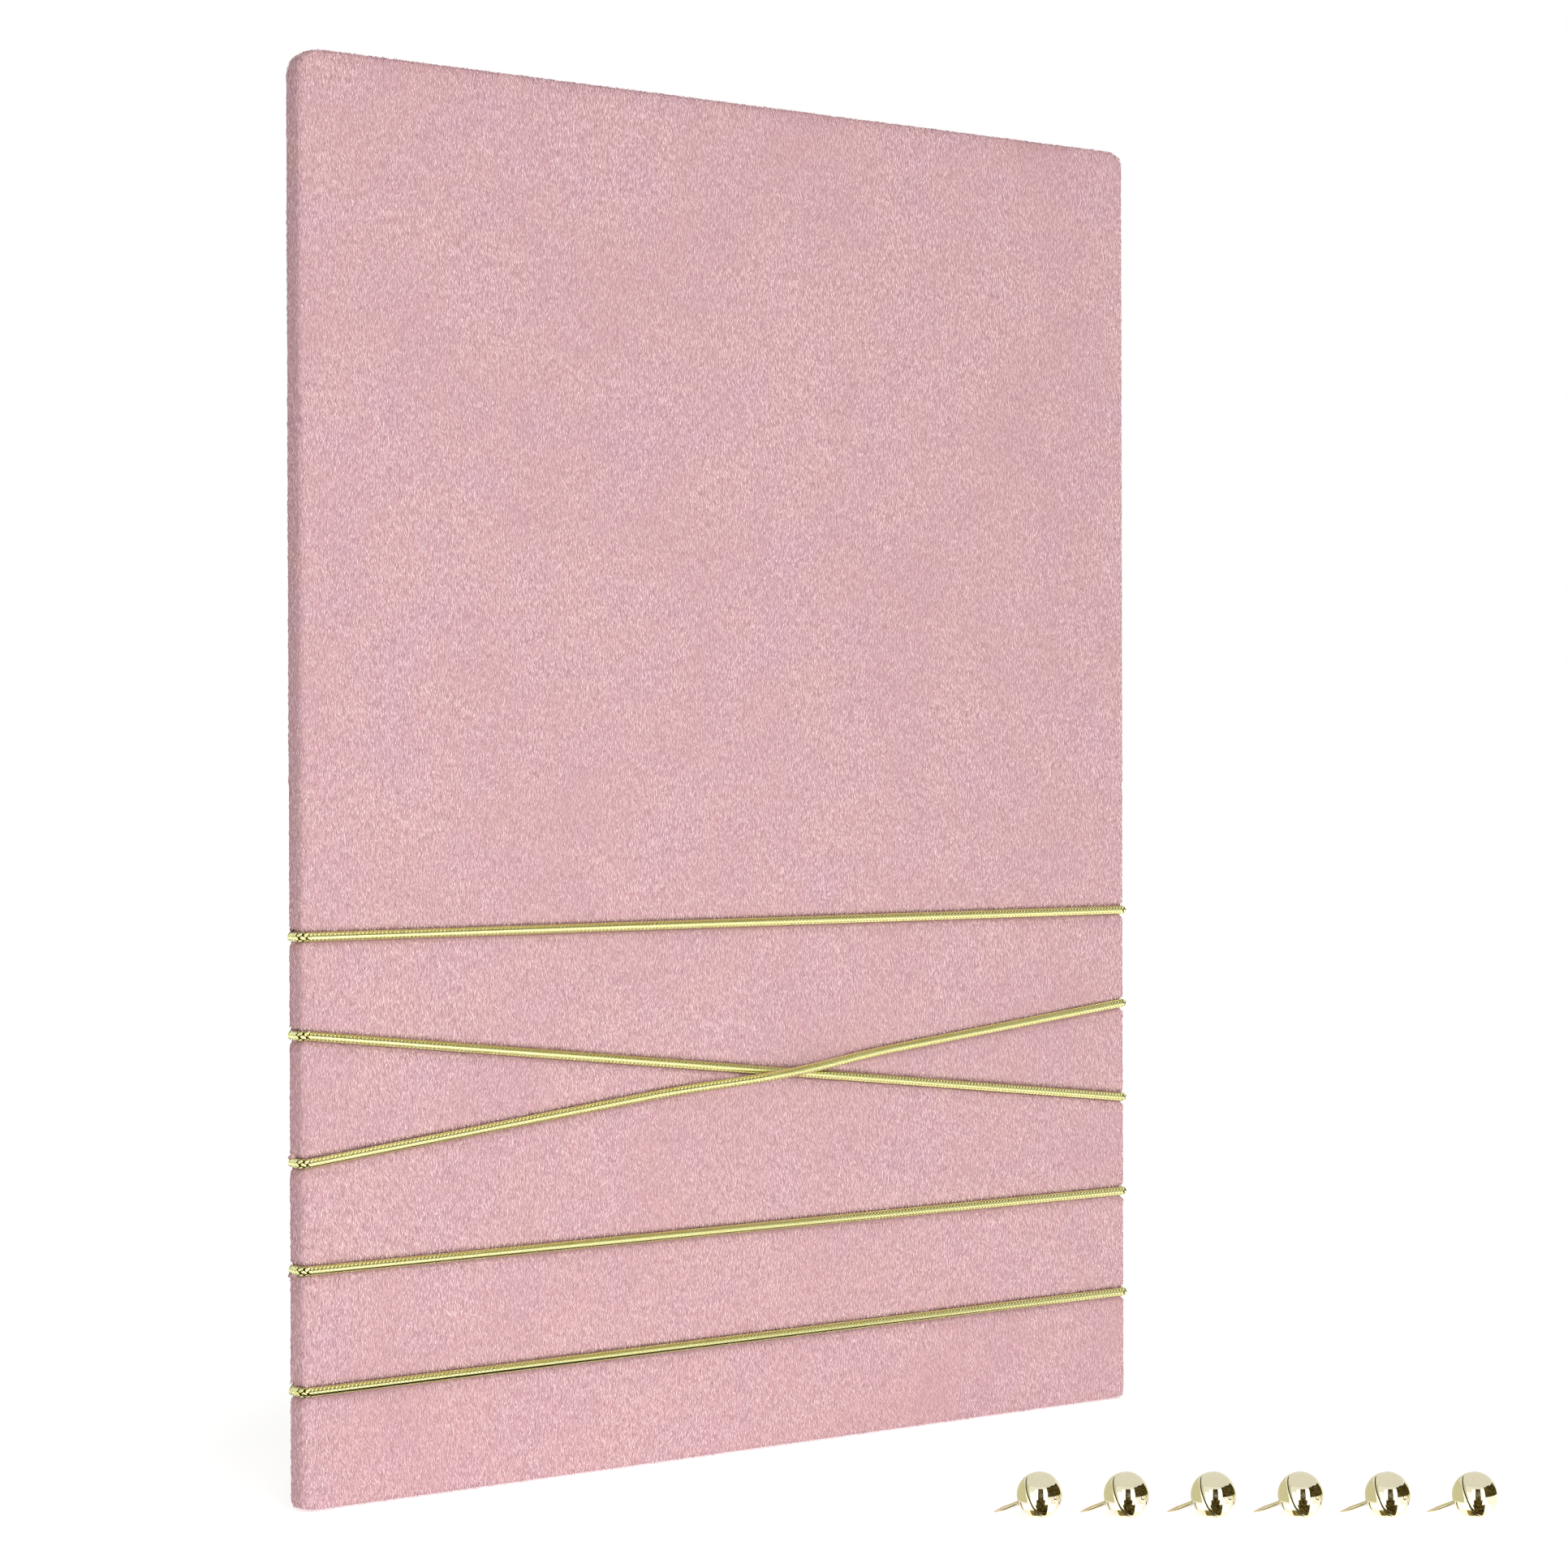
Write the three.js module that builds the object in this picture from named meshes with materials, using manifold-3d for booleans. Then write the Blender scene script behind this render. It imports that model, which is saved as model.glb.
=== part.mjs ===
// French memo board: a stiff board wrapped in plush, crossed by elastic cords, with two ring
// hangers on its back and a row of ball-head push pins lying in front of it.
// Millimetres. X runs right across the board seen from the front, Y to the back and Z up.
// The origin is the middle of the board's lower edge, on the surface that it stands on.

import * as THREE from 'three';
import { mergeVertices } from 'three/addons/utils/BufferGeometryUtils.js';
import Module from 'manifold-3d';

const wasm = await Module();
wasm.setup();

// Board
const boardWidth = 300;
const boardHeight = 400;
const coreThickness = 3;
const plushThickness = 2.25;
const wrapFit = 0.25;
const boardDepth = coreThickness + 2 * (wrapFit + plushThickness);
const frontEdgeRound = 2;
const backEdgeRound = 0.8;
const topLeftRound = 6.8;
const topRightRound = 4.5;
const bottomRound = 1.6;
const leastCornerRound = 0.4;
const turnOver = 42;

// Backing sheet
const sheetThickness = 0.8;
const sheetInset = 5;
const sheetCornerRound = 4;

// Elastic cords, from the top: heights of both ends as shares of the board's height
const cordDiameter = 2.8;
const cordFit = 0.25;
const grooveWall = 0.25;
const cordTail = 30;
const cordEndHeightShares = [
  [0.3928, 0.3923],
  [0.3253, 0.2422],
  [0.2382, 0.3174],
  [0.1649, 0.1667],
  [0.0820, 0.0858],
];
const lowerCrossingIndex = 1;
const upperCrossingIndex = 2;
const crossingReach = 45;
const crossingBow = 0.7;

// Staples over the cord ends
const stapleWire = 0.5;
const stapleCrown = 8;
const stapleLeg = 5;
const stapleFit = 0.3;
const staplePlace = 22;

// Ring hangers
const hangerInset = 50;
const hangerDrop = 20;
const strapThickness = 0.8;
const strapWidth = 9;
const strapLength = 12;
const screwDrop = 7;
const ringWire = 1.6;
const ringFit = 0.3;
const ringWidth = 16.6;
const ringDrop = 20;
const ringCorner = 2;
const ringSplit = 0.4;
const strapLoopShare = 0.69;

// Hanger screws
const screwShank = 2.5;
const screwLength = 6.4;
const screwPoint = 1.6;
const screwHead = 5.5;
const screwHeadHeight = 1.5;
const screwFit = 0.3;
const recessWidth = 0.7;
const recessSpan = 3;
const recessDepth = 0.8;

// Push pins, each a needle and two half shells
const pinCount = 6;
const ballDiameter = 12.4;
const shellWall = 0.5;
const shellSeam = 0.3;
const shellLap = 0.9;
const seamForward = 0.6;
const needleDiameter = 1.2;
const needleReach = 8.6;
const needlePoint = 4;
const needleTip = 0.2;
const needleFit = 0.3;
const needleFlange = 4;
const needleFlangeHeight = 0.6;
const pinSpacing = 23.5;
const pinRowForward = 125.2;
const pinRowRight = 6.3;
const pinRowTurn = THREE.MathUtils.degToRad(-37.3);
const needleHeading = THREE.MathUtils.degToRad(116);

// Facets
const cordSides = 8;
const bendSteps = 4;
const crossingSteps = 12;
const edgeSteps = 3;
const cornerSteps = 4;
const shellSides = 16;
const needleSides = 8;
const screwSides = 16;

// Places worked out from the sizes above
const halfWidth = boardWidth / 2;
const halfDepth = boardDepth / 2;
const cordRadius = cordDiameter / 2;
const coreHalfWidth = halfWidth - wrapFit - plushThickness;
const coreHalfDepth = coreThickness / 2;
const coreBottom = wrapFit + plushThickness;
const bendRadius = cordRadius + cordFit + grooveWall;
const cordHalfWidth = coreHalfWidth + wrapFit + bendRadius;
const cordHalfDepth = coreHalfDepth + wrapFit + bendRadius;
const cordInnerDepth = cordHalfDepth - cordRadius;
const crownFront = halfDepth - stapleWire;
const tailPressShare = (crownFront - cordFit - cordInnerDepth) / cordDiameter;
const sheetBack = halfDepth + sheetThickness;
const ringRadius = ringWire / 2;
const loopInner = ringRadius + ringFit;
const loopOuter = loopInner + strapThickness;
const hangerReach = halfWidth - hangerInset;
const hingeHeight = boardHeight - hangerDrop;
const hingeDepth = sheetBack + loopOuter;
const screwHeight = hingeHeight - screwDrop;
const strapBack = sheetBack + strapThickness;
const ballRadius = ballDiameter / 2;
const pinFloorTilt = Math.asin((ballRadius - needleTip) / (ballRadius + needleReach));
const overrun = boardDepth;

// Colours and finishes
const plushMaterial = () => new THREE.MeshStandardMaterial({ color: '#ddb5ba', roughness: 0.95, metalness: 0 });
const coreMaterial = () => new THREE.MeshStandardMaterial({ color: '#b49468', roughness: 0.9, metalness: 0 });
const sheetMaterial = () => new THREE.MeshStandardMaterial({ color: '#e9e4dc', roughness: 0.85, metalness: 0 });
const cordMaterial = () => new THREE.MeshStandardMaterial({ color: '#cdb259', roughness: 0.35, metalness: 0.8 });
const steelMaterial = () => new THREE.MeshStandardMaterial({ color: '#c3c4c6', roughness: 0.3, metalness: 1 });
const goldMaterial = () => new THREE.MeshStandardMaterial({ color: '#d8c49a', roughness: 0.15, metalness: 1 });

// Solids for cutting and joining
function toSolid(geometry) {
  const bare = geometry.clone();
  bare.deleteAttribute('normal');
  bare.deleteAttribute('uv');
  const merged = mergeVertices(bare);
  const mesh = new wasm.Mesh({
    numProp: 3,
    vertProperties: new Float32Array(merged.attributes.position.array),
    triVerts: new Uint32Array(merged.index.array),
  });
  return new wasm.Manifold(mesh);
}

function toGeometry(solid) {
  const mesh = solid.getMesh();
  const geometry = new THREE.BufferGeometry();
  geometry.setAttribute('position', new THREE.BufferAttribute(mesh.vertProperties, 3));
  geometry.setIndex(new THREE.BufferAttribute(mesh.triVerts, 1));
  geometry.computeVertexNormals();
  return geometry;
}

function cutAll(geometry, tools) {
  let solid = toSolid(geometry);
  for (const tool of tools) {
    solid = solid.subtract(toSolid(tool));
  }
  return toGeometry(solid);
}

function named(name, geometry, material) {
  const mesh = new THREE.Mesh(geometry, material);
  mesh.name = name;
  return mesh;
}

// A rounded rectangle standing on its lower edge, as points; rounds run from the lower left corner
function roundedOutline(halfSpan, bottom, top, rounds) {
  const [lowerLeft, lowerRight, upperRight, upperLeft] = rounds;
  const corners = [
    { x: -halfSpan + lowerLeft, z: bottom + lowerLeft, radius: lowerLeft, start: Math.PI },
    { x: halfSpan - lowerRight, z: bottom + lowerRight, radius: lowerRight, start: 1.5 * Math.PI },
    { x: halfSpan - upperRight, z: top - upperRight, radius: upperRight, start: 0 },
    { x: -halfSpan + upperLeft, z: top - upperLeft, radius: upperLeft, start: 0.5 * Math.PI },
  ];
  const points = [];
  for (const corner of corners) {
    for (let step = 0; step <= cornerSteps; step += 1) {
      const angle = corner.start + (Math.PI / 2) * (step / cornerSteps);
      points.push(new THREE.Vector2(
        corner.x + corner.radius * Math.cos(angle),
        corner.z + corner.radius * Math.sin(angle),
      ));
    }
  }
  return points;
}

// A plate between two depths with the outline given
function flatPlate(outline, front, back) {
  const plate = new THREE.ExtrudeGeometry(new THREE.Shape(outline), { depth: back - front, bevelEnabled: false });
  plate.rotateX(Math.PI / 2);
  plate.translate(0, back, 0);
  return plate;
}

// A plate with rounded front and back edges, skinned ring by ring from front to back
function pillowPlate() {
  const stations = (radius, way) => Array.from({ length: edgeSteps + 1 }, (unused, step) => {
    const angle = (Math.PI / 2) * (step / edgeSteps);
    return { y: way * (halfDepth - radius * (1 - Math.sin(angle))), inset: radius * (1 - Math.cos(angle)) };
  });
  const front = stations(frontEdgeRound, -1).reverse();
  const back = stations(backEdgeRound, 1);
  const rings = [...front, ...back].map(({ y, inset }) => {
    const rounds = [bottomRound, bottomRound, topRightRound, topLeftRound]
      .map((radius) => Math.max(radius - inset, leastCornerRound));
    return roundedOutline(halfWidth - inset, inset, boardHeight - inset, rounds)
      .map((point) => new THREE.Vector3(point.x, y, point.y));
  });
  return skinned(rings);
}

// A closed skin over rings of equally many points, with a fan over each end ring
function skinned(rings) {
  const count = rings[0].length;
  const positions = rings.flat().flatMap((point) => [point.x, point.y, point.z]);
  const indices = [];
  for (let ring = 0; ring < rings.length - 1; ring += 1) {
    for (let corner = 0; corner < count; corner += 1) {
      const next = (corner + 1) % count;
      const a = ring * count + corner;
      const b = ring * count + next;
      indices.push(a, a + count, b, b, a + count, b + count);
    }
  }
  const last = (rings.length - 1) * count;
  for (let corner = 1; corner < count - 1; corner += 1) {
    indices.push(0, corner, corner + 1);
    indices.push(last, last + corner + 1, last + corner);
  }
  const geometry = new THREE.BufferGeometry();
  geometry.setAttribute('position', new THREE.Float32BufferAttribute(positions, 3));
  geometry.setIndex(indices);
  return geometry;
}

// A curve whose evenly counted points are the stations themselves, however far apart they lie
class StationCurve extends THREE.Curve {
  constructor(stations) {
    super();
    this.stations = stations;
  }

  getPointAt(share, target = new THREE.Vector3()) {
    return target.copy(this.stations[Math.round(share * (this.stations.length - 1))]);
  }

  getTangentAt(share, target = new THREE.Vector3()) {
    const here = Math.round(share * (this.stations.length - 1));
    const before = this.stations[Math.max(here - 1, 0)];
    const after = this.stations[Math.min(here + 1, this.stations.length - 1)];
    const arriving = this.stations[here].clone().sub(before).normalize();
    const leaving = after.clone().sub(this.stations[here]).normalize();
    return target.copy(arriving).add(leaving).normalize();
  }
}

function tubeAlong(stations, radius, sides) {
  const section = [];
  for (let side = 0; side < sides; side += 1) {
    const angle = (2 * Math.PI * side) / sides;
    section.push(new THREE.Vector2(radius * Math.cos(angle), radius * Math.sin(angle)));
  }
  return new THREE.ExtrudeGeometry(new THREE.Shape(section), {
    steps: stations.length - 1,
    extrudePath: new StationCurve(stations),
    bevelEnabled: false,
  });
}

// Heights of a cord along its front stretch, and how far it stands out where it crosses another
function cordEnds(index) {
  const [leftShare, rightShare] = cordEndHeightShares[index];
  return { left: leftShare * boardHeight, right: rightShare * boardHeight };
}

function crossingPlace() {
  const lower = cordEnds(lowerCrossingIndex);
  const upper = cordEnds(upperCrossingIndex);
  const apart = lower.left - upper.left;
  const share = apart / (apart + upper.right - lower.right);
  return -cordHalfWidth + 2 * cordHalfWidth * share;
}

function frontStretch(index) {
  const { left, right } = cordEnds(index);
  const heightAt = (x) => left + ((right - left) * (x + cordHalfWidth)) / (2 * cordHalfWidth);
  if (index !== upperCrossingIndex) {
    return [];
  }
  const crossing = crossingPlace();
  const stations = [];
  for (let step = 0; step <= crossingSteps; step += 1) {
    const share = -1 + (2 * step) / crossingSteps;
    const rise = (1 + Math.cos(Math.PI * share)) / 2;
    const x = crossing + crossingReach * share;
    const y = -cordHalfDepth - (cordDiameter + cordFit) * rise;
    stations.push(new THREE.Vector3(x, y, heightAt(x) - crossingBow * rise));
  }
  return stations;
}

// Half of a cord's route, from its tail on the back to the start of the front stretch
function cordSide(side, height) {
  const stations = [new THREE.Vector3(side * (halfWidth - cordTail), cordHalfDepth, height)];
  for (const face of [1, -1]) {
    for (let step = 0; step <= bendSteps; step += 1) {
      const turn = (Math.PI / 2) * (step / bendSteps);
      const outward = face > 0 ? Math.sin(turn) : Math.cos(turn);
      const along = face > 0 ? Math.cos(turn) : Math.sin(turn);
      stations.push(new THREE.Vector3(
        side * (cordHalfWidth - bendRadius + bendRadius * outward),
        face * (cordHalfDepth - bendRadius + bendRadius * along),
        height,
      ));
    }
  }
  return stations;
}

function cordRoute(index) {
  const { left, right } = cordEnds(index);
  return [...cordSide(-1, left), ...frontStretch(index), ...cordSide(1, right).reverse()];
}

// The cord's tails are pressed flat on the back, under their staples and the backing sheet
function elasticCord(index) {
  const cord = tubeAlong(cordRoute(index), cordRadius, cordSides);
  const position = cord.attributes.position;
  for (let vertex = 0; vertex < position.count; vertex += 1) {
    const beyond = position.getY(vertex) - cordInnerDepth;
    if (beyond > 0) {
      position.setY(vertex, cordInnerDepth + tailPressShare * beyond);
    }
  }
  return cord;
}

// What a cord presses out of the plush: its groove, and a slot open to the back for each tail
function cordGrooves(index) {
  const { left, right } = cordEnds(index);
  const reach = cordRadius + cordFit;
  const tailEnd = halfWidth - cordTail - cordFit;
  const slots = [[-halfWidth - overrun, -tailEnd, left], [tailEnd, halfWidth + overrun, right]];
  return [
    tubeAlong(cordRoute(index), reach, cordSides),
    ...slots.map(([low, high, height]) => boxBetween(
      new THREE.Vector3(low, cordInnerDepth - cordFit, height - reach),
      new THREE.Vector3(high, halfDepth + overrun, height + reach),
    )),
  ];
}

// A box given by its low and high corners
function boxBetween(low, high) {
  const box = new THREE.BoxGeometry(high.x - low.x, high.y - low.y, high.z - low.z);
  box.translate((low.x + high.x) / 2, (low.y + high.y) / 2, (low.z + high.z) / 2);
  return box;
}

// A solid of the given width whose outline is drawn as seen from the side, depth by height
function sideProfile(outline, width) {
  const body = new THREE.ExtrudeGeometry(new THREE.Shape(outline), { depth: width, bevelEnabled: false });
  body.translate(0, 0, -width / 2);
  body.applyMatrix4(new THREE.Matrix4().makeBasis(
    new THREE.Vector3(0, 1, 0),
    new THREE.Vector3(0, 0, 1),
    new THREE.Vector3(1, 0, 0),
  ));
  return body;
}

// The side view of a staple, as an outline with its two legs, grown by a clearance
function stapleBody(side, height, clearance) {
  const reach = stapleCrown / 2 + clearance;
  const inside = stapleCrown / 2 - stapleWire - clearance;
  const back = clearance > 0 ? halfDepth + overrun : halfDepth;
  const crownBottom = crownFront - clearance;
  const legEnd = halfDepth - stapleLeg - clearance;
  const outline = [
    new THREE.Vector2(legEnd, -reach),
    new THREE.Vector2(back, -reach),
    new THREE.Vector2(back, reach),
    new THREE.Vector2(legEnd, reach),
    new THREE.Vector2(legEnd, inside),
    new THREE.Vector2(crownBottom, inside),
    new THREE.Vector2(crownBottom, -inside),
    new THREE.Vector2(legEnd, -inside),
  ];
  const staple = sideProfile(outline, stapleWire + 2 * clearance);
  staple.translate(side * (halfWidth - staplePlace), 0, height);
  return staple;
}

function staplePlaces() {
  return cordEndHeightShares.flatMap((shares, index) => {
    const { left, right } = cordEnds(index);
    return [
      { name: `cord_${index + 1}_staple_left`, side: -1, height: left },
      { name: `cord_${index + 1}_staple_right`, side: 1, height: right },
    ];
  });
}

// A cylinder lying front to back
function pegTool(radius, front, back, x, z) {
  const peg = new THREE.CylinderGeometry(radius, radius, back - front, screwSides);
  peg.translate(x, (front + back) / 2, z);
  return peg;
}

function screwTools(clearance) {
  const front = strapBack - screwLength - clearance;
  return [-1, 1].map((side) => pegTool(
    screwShank / 2 + clearance, front, strapBack + overrun, side * hangerReach, screwHeight,
  ));
}

// The plush wrap: outside with its rounded edges, less the core's space, the opening that its
// turned over margin leaves on the back, the cords' grooves and the fasteners' holes
function plushCover() {
  const space = flatPlate(
    roundedOutline(
      coreHalfWidth + wrapFit,
      coreBottom - wrapFit,
      boardHeight - coreBottom + wrapFit,
      coreRounds(wrapFit),
    ),
    -coreHalfDepth - wrapFit,
    coreHalfDepth + wrapFit,
  );
  const backOpening = boxBetween(
    new THREE.Vector3(-halfWidth + turnOver, 0, turnOver),
    new THREE.Vector3(halfWidth - turnOver, overrun, boardHeight - turnOver),
  );
  const grooves = cordEndHeightShares.flatMap((shares, index) => cordGrooves(index));
  const stapleSlots = staplePlaces().map(({ side, height }) => stapleBody(side, height, stapleFit));
  const tools = [space, backOpening, ...grooves, ...stapleSlots, ...screwTools(screwFit)];
  return cutAll(pillowPlate(), tools);
}

function coreRounds(growth) {
  return [bottomRound, bottomRound, topRightRound, topLeftRound]
    .map((radius) => Math.max(radius - coreBottom + growth, leastCornerRound));
}

function coreBoard() {
  const plate = flatPlate(
    roundedOutline(coreHalfWidth, coreBottom, boardHeight - coreBottom, coreRounds(0)),
    -coreHalfDepth,
    coreHalfDepth,
  );
  const stapleSlots = staplePlaces().map(({ side, height }) => stapleBody(side, height, stapleFit));
  return cutAll(plate, [...stapleSlots, ...screwTools(screwFit)]);
}

function backingSheet() {
  const rounds = [sheetCornerRound, sheetCornerRound, sheetCornerRound, sheetCornerRound];
  const outline = roundedOutline(halfWidth - sheetInset, sheetInset, boardHeight - sheetInset, rounds);
  return cutAll(flatPlate(outline, halfDepth, sheetBack), screwTools(screwFit));
}

// A strap seen from its side: a flat tongue on the sheet that curls over the ring's bar
function strapOutline() {
  const sweep = 2 * Math.PI * strapLoopShare;
  const steps = 4 * bendSteps;
  const arc = (radius) => Array.from({ length: steps + 1 }, (unused, step) => {
    const angle = Math.PI - (sweep * step) / steps;
    return new THREE.Vector2(hingeDepth + radius * Math.cos(angle), hingeHeight + radius * Math.sin(angle));
  });
  const strapEnd = hingeHeight - strapLength;
  return [
    new THREE.Vector2(sheetBack, strapEnd),
    ...arc(loopOuter),
    ...arc(loopInner).reverse(),
    new THREE.Vector2(strapBack, strapEnd),
  ];
}

function hangerStrap(side) {
  const strap = sideProfile(strapOutline(), strapWidth);
  const top = hingeHeight + 2 * loopOuter;
  const tongueRound = strapWidth / 2;
  const plan = flatPlate(
    roundedOutline(
      strapWidth / 2,
      hingeHeight - strapLength,
      top,
      [tongueRound, tongueRound, leastCornerRound, leastCornerRound],
    ),
    halfDepth,
    hingeDepth + 2 * loopOuter,
  );
  const hole = pegTool(screwShank / 2 + screwFit, halfDepth, hingeDepth, 0, screwHeight);
  const solid = toSolid(strap).intersect(toSolid(plan)).subtract(toSolid(hole));
  const geometry = toGeometry(solid);
  geometry.translate(side * hangerReach, 0, 0);
  return geometry;
}

// The wire ring hangs from its bar, and its ends meet inside the strap's loop
function ringStations() {
  const barHalf = ringWidth / 2 - ringRadius;
  const turned = barHalf - ringCorner;
  const stations = [new THREE.Vector3(ringSplit / 2, 0, 0)];
  for (let step = 0; step <= bendSteps; step += 1) {
    const angle = (Math.PI / 2) * (step / bendSteps);
    stations.push(new THREE.Vector3(
      turned + ringCorner * Math.sin(angle),
      0,
      -ringCorner + ringCorner * Math.cos(angle),
    ));
  }
  const bowCentre = -(ringDrop - barHalf);
  for (let step = 0; step <= 2 * bendSteps; step += 1) {
    const angle = (Math.PI / 2) * (step / bendSteps);
    stations.push(new THREE.Vector3(barHalf * Math.cos(angle), 0, bowCentre - barHalf * Math.sin(angle)));
  }
  const mirrored = stations.slice(0, bendSteps + 2).reverse();
  return [...stations, ...mirrored.map((point) => new THREE.Vector3(-point.x, 0, point.z))];
}

function hangerRing(side) {
  const ring = tubeAlong(ringStations(), ringRadius, cordSides);
  ring.translate(side * hangerReach, hingeDepth, hingeHeight);
  return ring;
}

function hangerScrew(side) {
  const shank = screwShank / 2;
  const head = screwHead / 2;
  const profile = [
    new THREE.Vector2(0, -screwLength),
    new THREE.Vector2(shank, -screwLength + screwPoint),
    new THREE.Vector2(shank, 0),
    new THREE.Vector2(head, 0),
    new THREE.Vector2(head, screwHeadHeight / 3),
    new THREE.Vector2(head * Math.cos(Math.PI / 6), (2 * screwHeadHeight) / 3),
    new THREE.Vector2(head / 2, screwHeadHeight),
    new THREE.Vector2(0, screwHeadHeight),
  ];
  const body = new THREE.LatheGeometry(profile, screwSides);
  const recess = [0, Math.PI / 2].map((angle) => {
    const slot = new THREE.BoxGeometry(recessSpan, 2 * recessDepth, recessWidth);
    slot.rotateY(angle);
    slot.translate(0, screwHeadHeight, 0);
    return slot;
  });
  const screw = cutAll(body, recess);
  screw.translate(side * hangerReach, strapBack, screwHeight);
  return screw;
}

// Points of an arc in a half shell's profile, from one angle off the needle's axis to another
function shellArc(radius, from, to, steps) {
  return Array.from({ length: steps + 1 }, (unused, step) => {
    const angle = from + ((to - from) * step) / steps;
    return new THREE.Vector2(radius * Math.sin(angle), radius * Math.cos(angle));
  });
}

// The rear shell carries the needle and laps inside the front shell's rim
function rearShell() {
  const neckOuter = ballRadius - shellWall - shellSeam;
  const neckInner = neckOuter - shellWall;
  const neckFoot = seamForward - shellLap;
  const hole = needleDiameter / 2 + needleFit;
  const profile = [
    ...shellArc(ballRadius, Math.asin(hole / ballRadius), Math.acos(seamForward / ballRadius), 5),
    new THREE.Vector2(neckOuter, seamForward),
    new THREE.Vector2(neckOuter, neckFoot),
    ...shellArc(neckInner, Math.acos(neckFoot / neckInner), Math.asin(hole / neckInner), 4),
  ];
  return new THREE.LatheGeometry([...profile, profile[0].clone()].reverse(), shellSides);
}

// The front shell is a little deeper than half the ball, so its rim grips the rear one
function frontShell() {
  const innerRadius = ballRadius - shellWall;
  const rim = seamForward - shellSeam;
  const profile = [
    ...shellArc(ballRadius, Math.acos(rim / ballRadius), Math.PI, 5),
    ...shellArc(innerRadius, Math.PI, Math.acos(rim / innerRadius), 4),
  ];
  profile[5].x = 0;
  profile[6].x = 0;
  return new THREE.LatheGeometry([...profile, profile[0].clone()].reverse(), shellSides);
}

function needle() {
  const shaft = needleDiameter / 2;
  const tip = ballRadius + needleReach;
  const flangeTop = ballRadius - 2 * shellWall - shellSeam - 2 * needleFit;
  const profile = [
    new THREE.Vector2(0, tip),
    new THREE.Vector2(needleTip, tip - needleTip),
    new THREE.Vector2(shaft, tip - needlePoint),
    new THREE.Vector2(shaft, flangeTop),
    new THREE.Vector2(needleFlange / 2, flangeTop),
    new THREE.Vector2(needleFlange / 2, flangeTop - needleFlangeHeight),
    new THREE.Vector2(0, flangeTop - needleFlangeHeight),
  ];
  return new THREE.LatheGeometry(profile.reverse(), needleSides);
}

// A pin lies on its ball and its point, with the needle's axis given by the profile's +Y
function pushPin(index) {
  const pin = new THREE.Group();
  const label = `pin_${index + 1}`;
  pin.add(named(`${label}_needle`, needle(), steelMaterial()));
  pin.add(named(`${label}_rear_shell`, rearShell(), goldMaterial()));
  pin.add(named(`${label}_front_shell`, frontShell(), goldMaterial()));
  const along = pinSpacing * index;
  pin.position.set(
    pinRowRight + along * Math.cos(pinRowTurn),
    -halfDepth - pinRowForward + along * Math.sin(pinRowTurn),
    ballRadius,
  );
  const level = Math.cos(pinFloorTilt);
  const axis = new THREE.Vector3(
    level * Math.cos(needleHeading),
    level * Math.sin(needleHeading),
    -Math.sin(pinFloorTilt),
  );
  pin.quaternion.setFromUnitVectors(new THREE.Vector3(0, 1, 0), axis);
  return pin;
}

function boardGroup() {
  const board = new THREE.Group();
  board.add(named('plush_cover', plushCover(), plushMaterial()));
  board.add(named('core_board', coreBoard(), coreMaterial()));
  board.add(named('backing_sheet', backingSheet(), sheetMaterial()));
  return board;
}

function cordGroup() {
  const cords = new THREE.Group();
  cordEndHeightShares.forEach((shares, index) => {
    cords.add(named(`elastic_cord_${index + 1}`, elasticCord(index), cordMaterial()));
  });
  for (const { name, side, height } of staplePlaces()) {
    cords.add(named(name, stapleBody(side, height, 0), steelMaterial()));
  }
  return cords;
}

function hangerGroup() {
  const hangers = new THREE.Group();
  for (const [label, side] of [['left', -1], ['right', 1]]) {
    hangers.add(named(`hanger_strap_${label}`, hangerStrap(side), steelMaterial()));
    hangers.add(named(`hanger_screw_${label}`, hangerScrew(side), steelMaterial()));
    hangers.add(named(`hanger_ring_${label}`, hangerRing(side), steelMaterial()));
  }
  return hangers;
}

function pinGroup() {
  const pins = new THREE.Group();
  for (let index = 0; index < pinCount; index += 1) {
    pins.add(pushPin(index));
  }
  return pins;
}

const memoBoard = new THREE.Group();
memoBoard.add(boardGroup(), cordGroup(), hangerGroup(), pinGroup());

export default memoBoard;
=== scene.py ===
"""Looks of a plush French memo board with braided elastic cords, ring hangers and ball-head push pins.

Everything is in metres in the board's own frame: X right across the board seen from the front, Y to the
back, Z up, with the origin at the middle of the lower edge.
"""

import logging
import math
from collections.abc import Callable
from dataclasses import dataclass, field
from enum import Enum

import bmesh
import bpy
from mathutils import Matrix, Vector

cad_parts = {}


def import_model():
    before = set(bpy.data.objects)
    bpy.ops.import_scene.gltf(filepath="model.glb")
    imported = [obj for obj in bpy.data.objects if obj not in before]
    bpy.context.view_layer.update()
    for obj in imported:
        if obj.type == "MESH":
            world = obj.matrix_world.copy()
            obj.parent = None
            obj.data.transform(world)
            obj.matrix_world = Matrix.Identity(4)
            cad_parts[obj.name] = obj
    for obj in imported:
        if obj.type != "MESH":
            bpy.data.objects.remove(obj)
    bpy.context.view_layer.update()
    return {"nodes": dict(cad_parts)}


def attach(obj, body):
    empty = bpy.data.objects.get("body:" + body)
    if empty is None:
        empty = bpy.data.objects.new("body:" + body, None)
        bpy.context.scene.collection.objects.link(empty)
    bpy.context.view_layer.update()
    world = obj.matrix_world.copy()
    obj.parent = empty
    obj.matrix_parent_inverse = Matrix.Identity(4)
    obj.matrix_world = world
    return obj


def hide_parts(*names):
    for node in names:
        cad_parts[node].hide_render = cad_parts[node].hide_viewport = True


log = logging.getLogger("memo_board")

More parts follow.
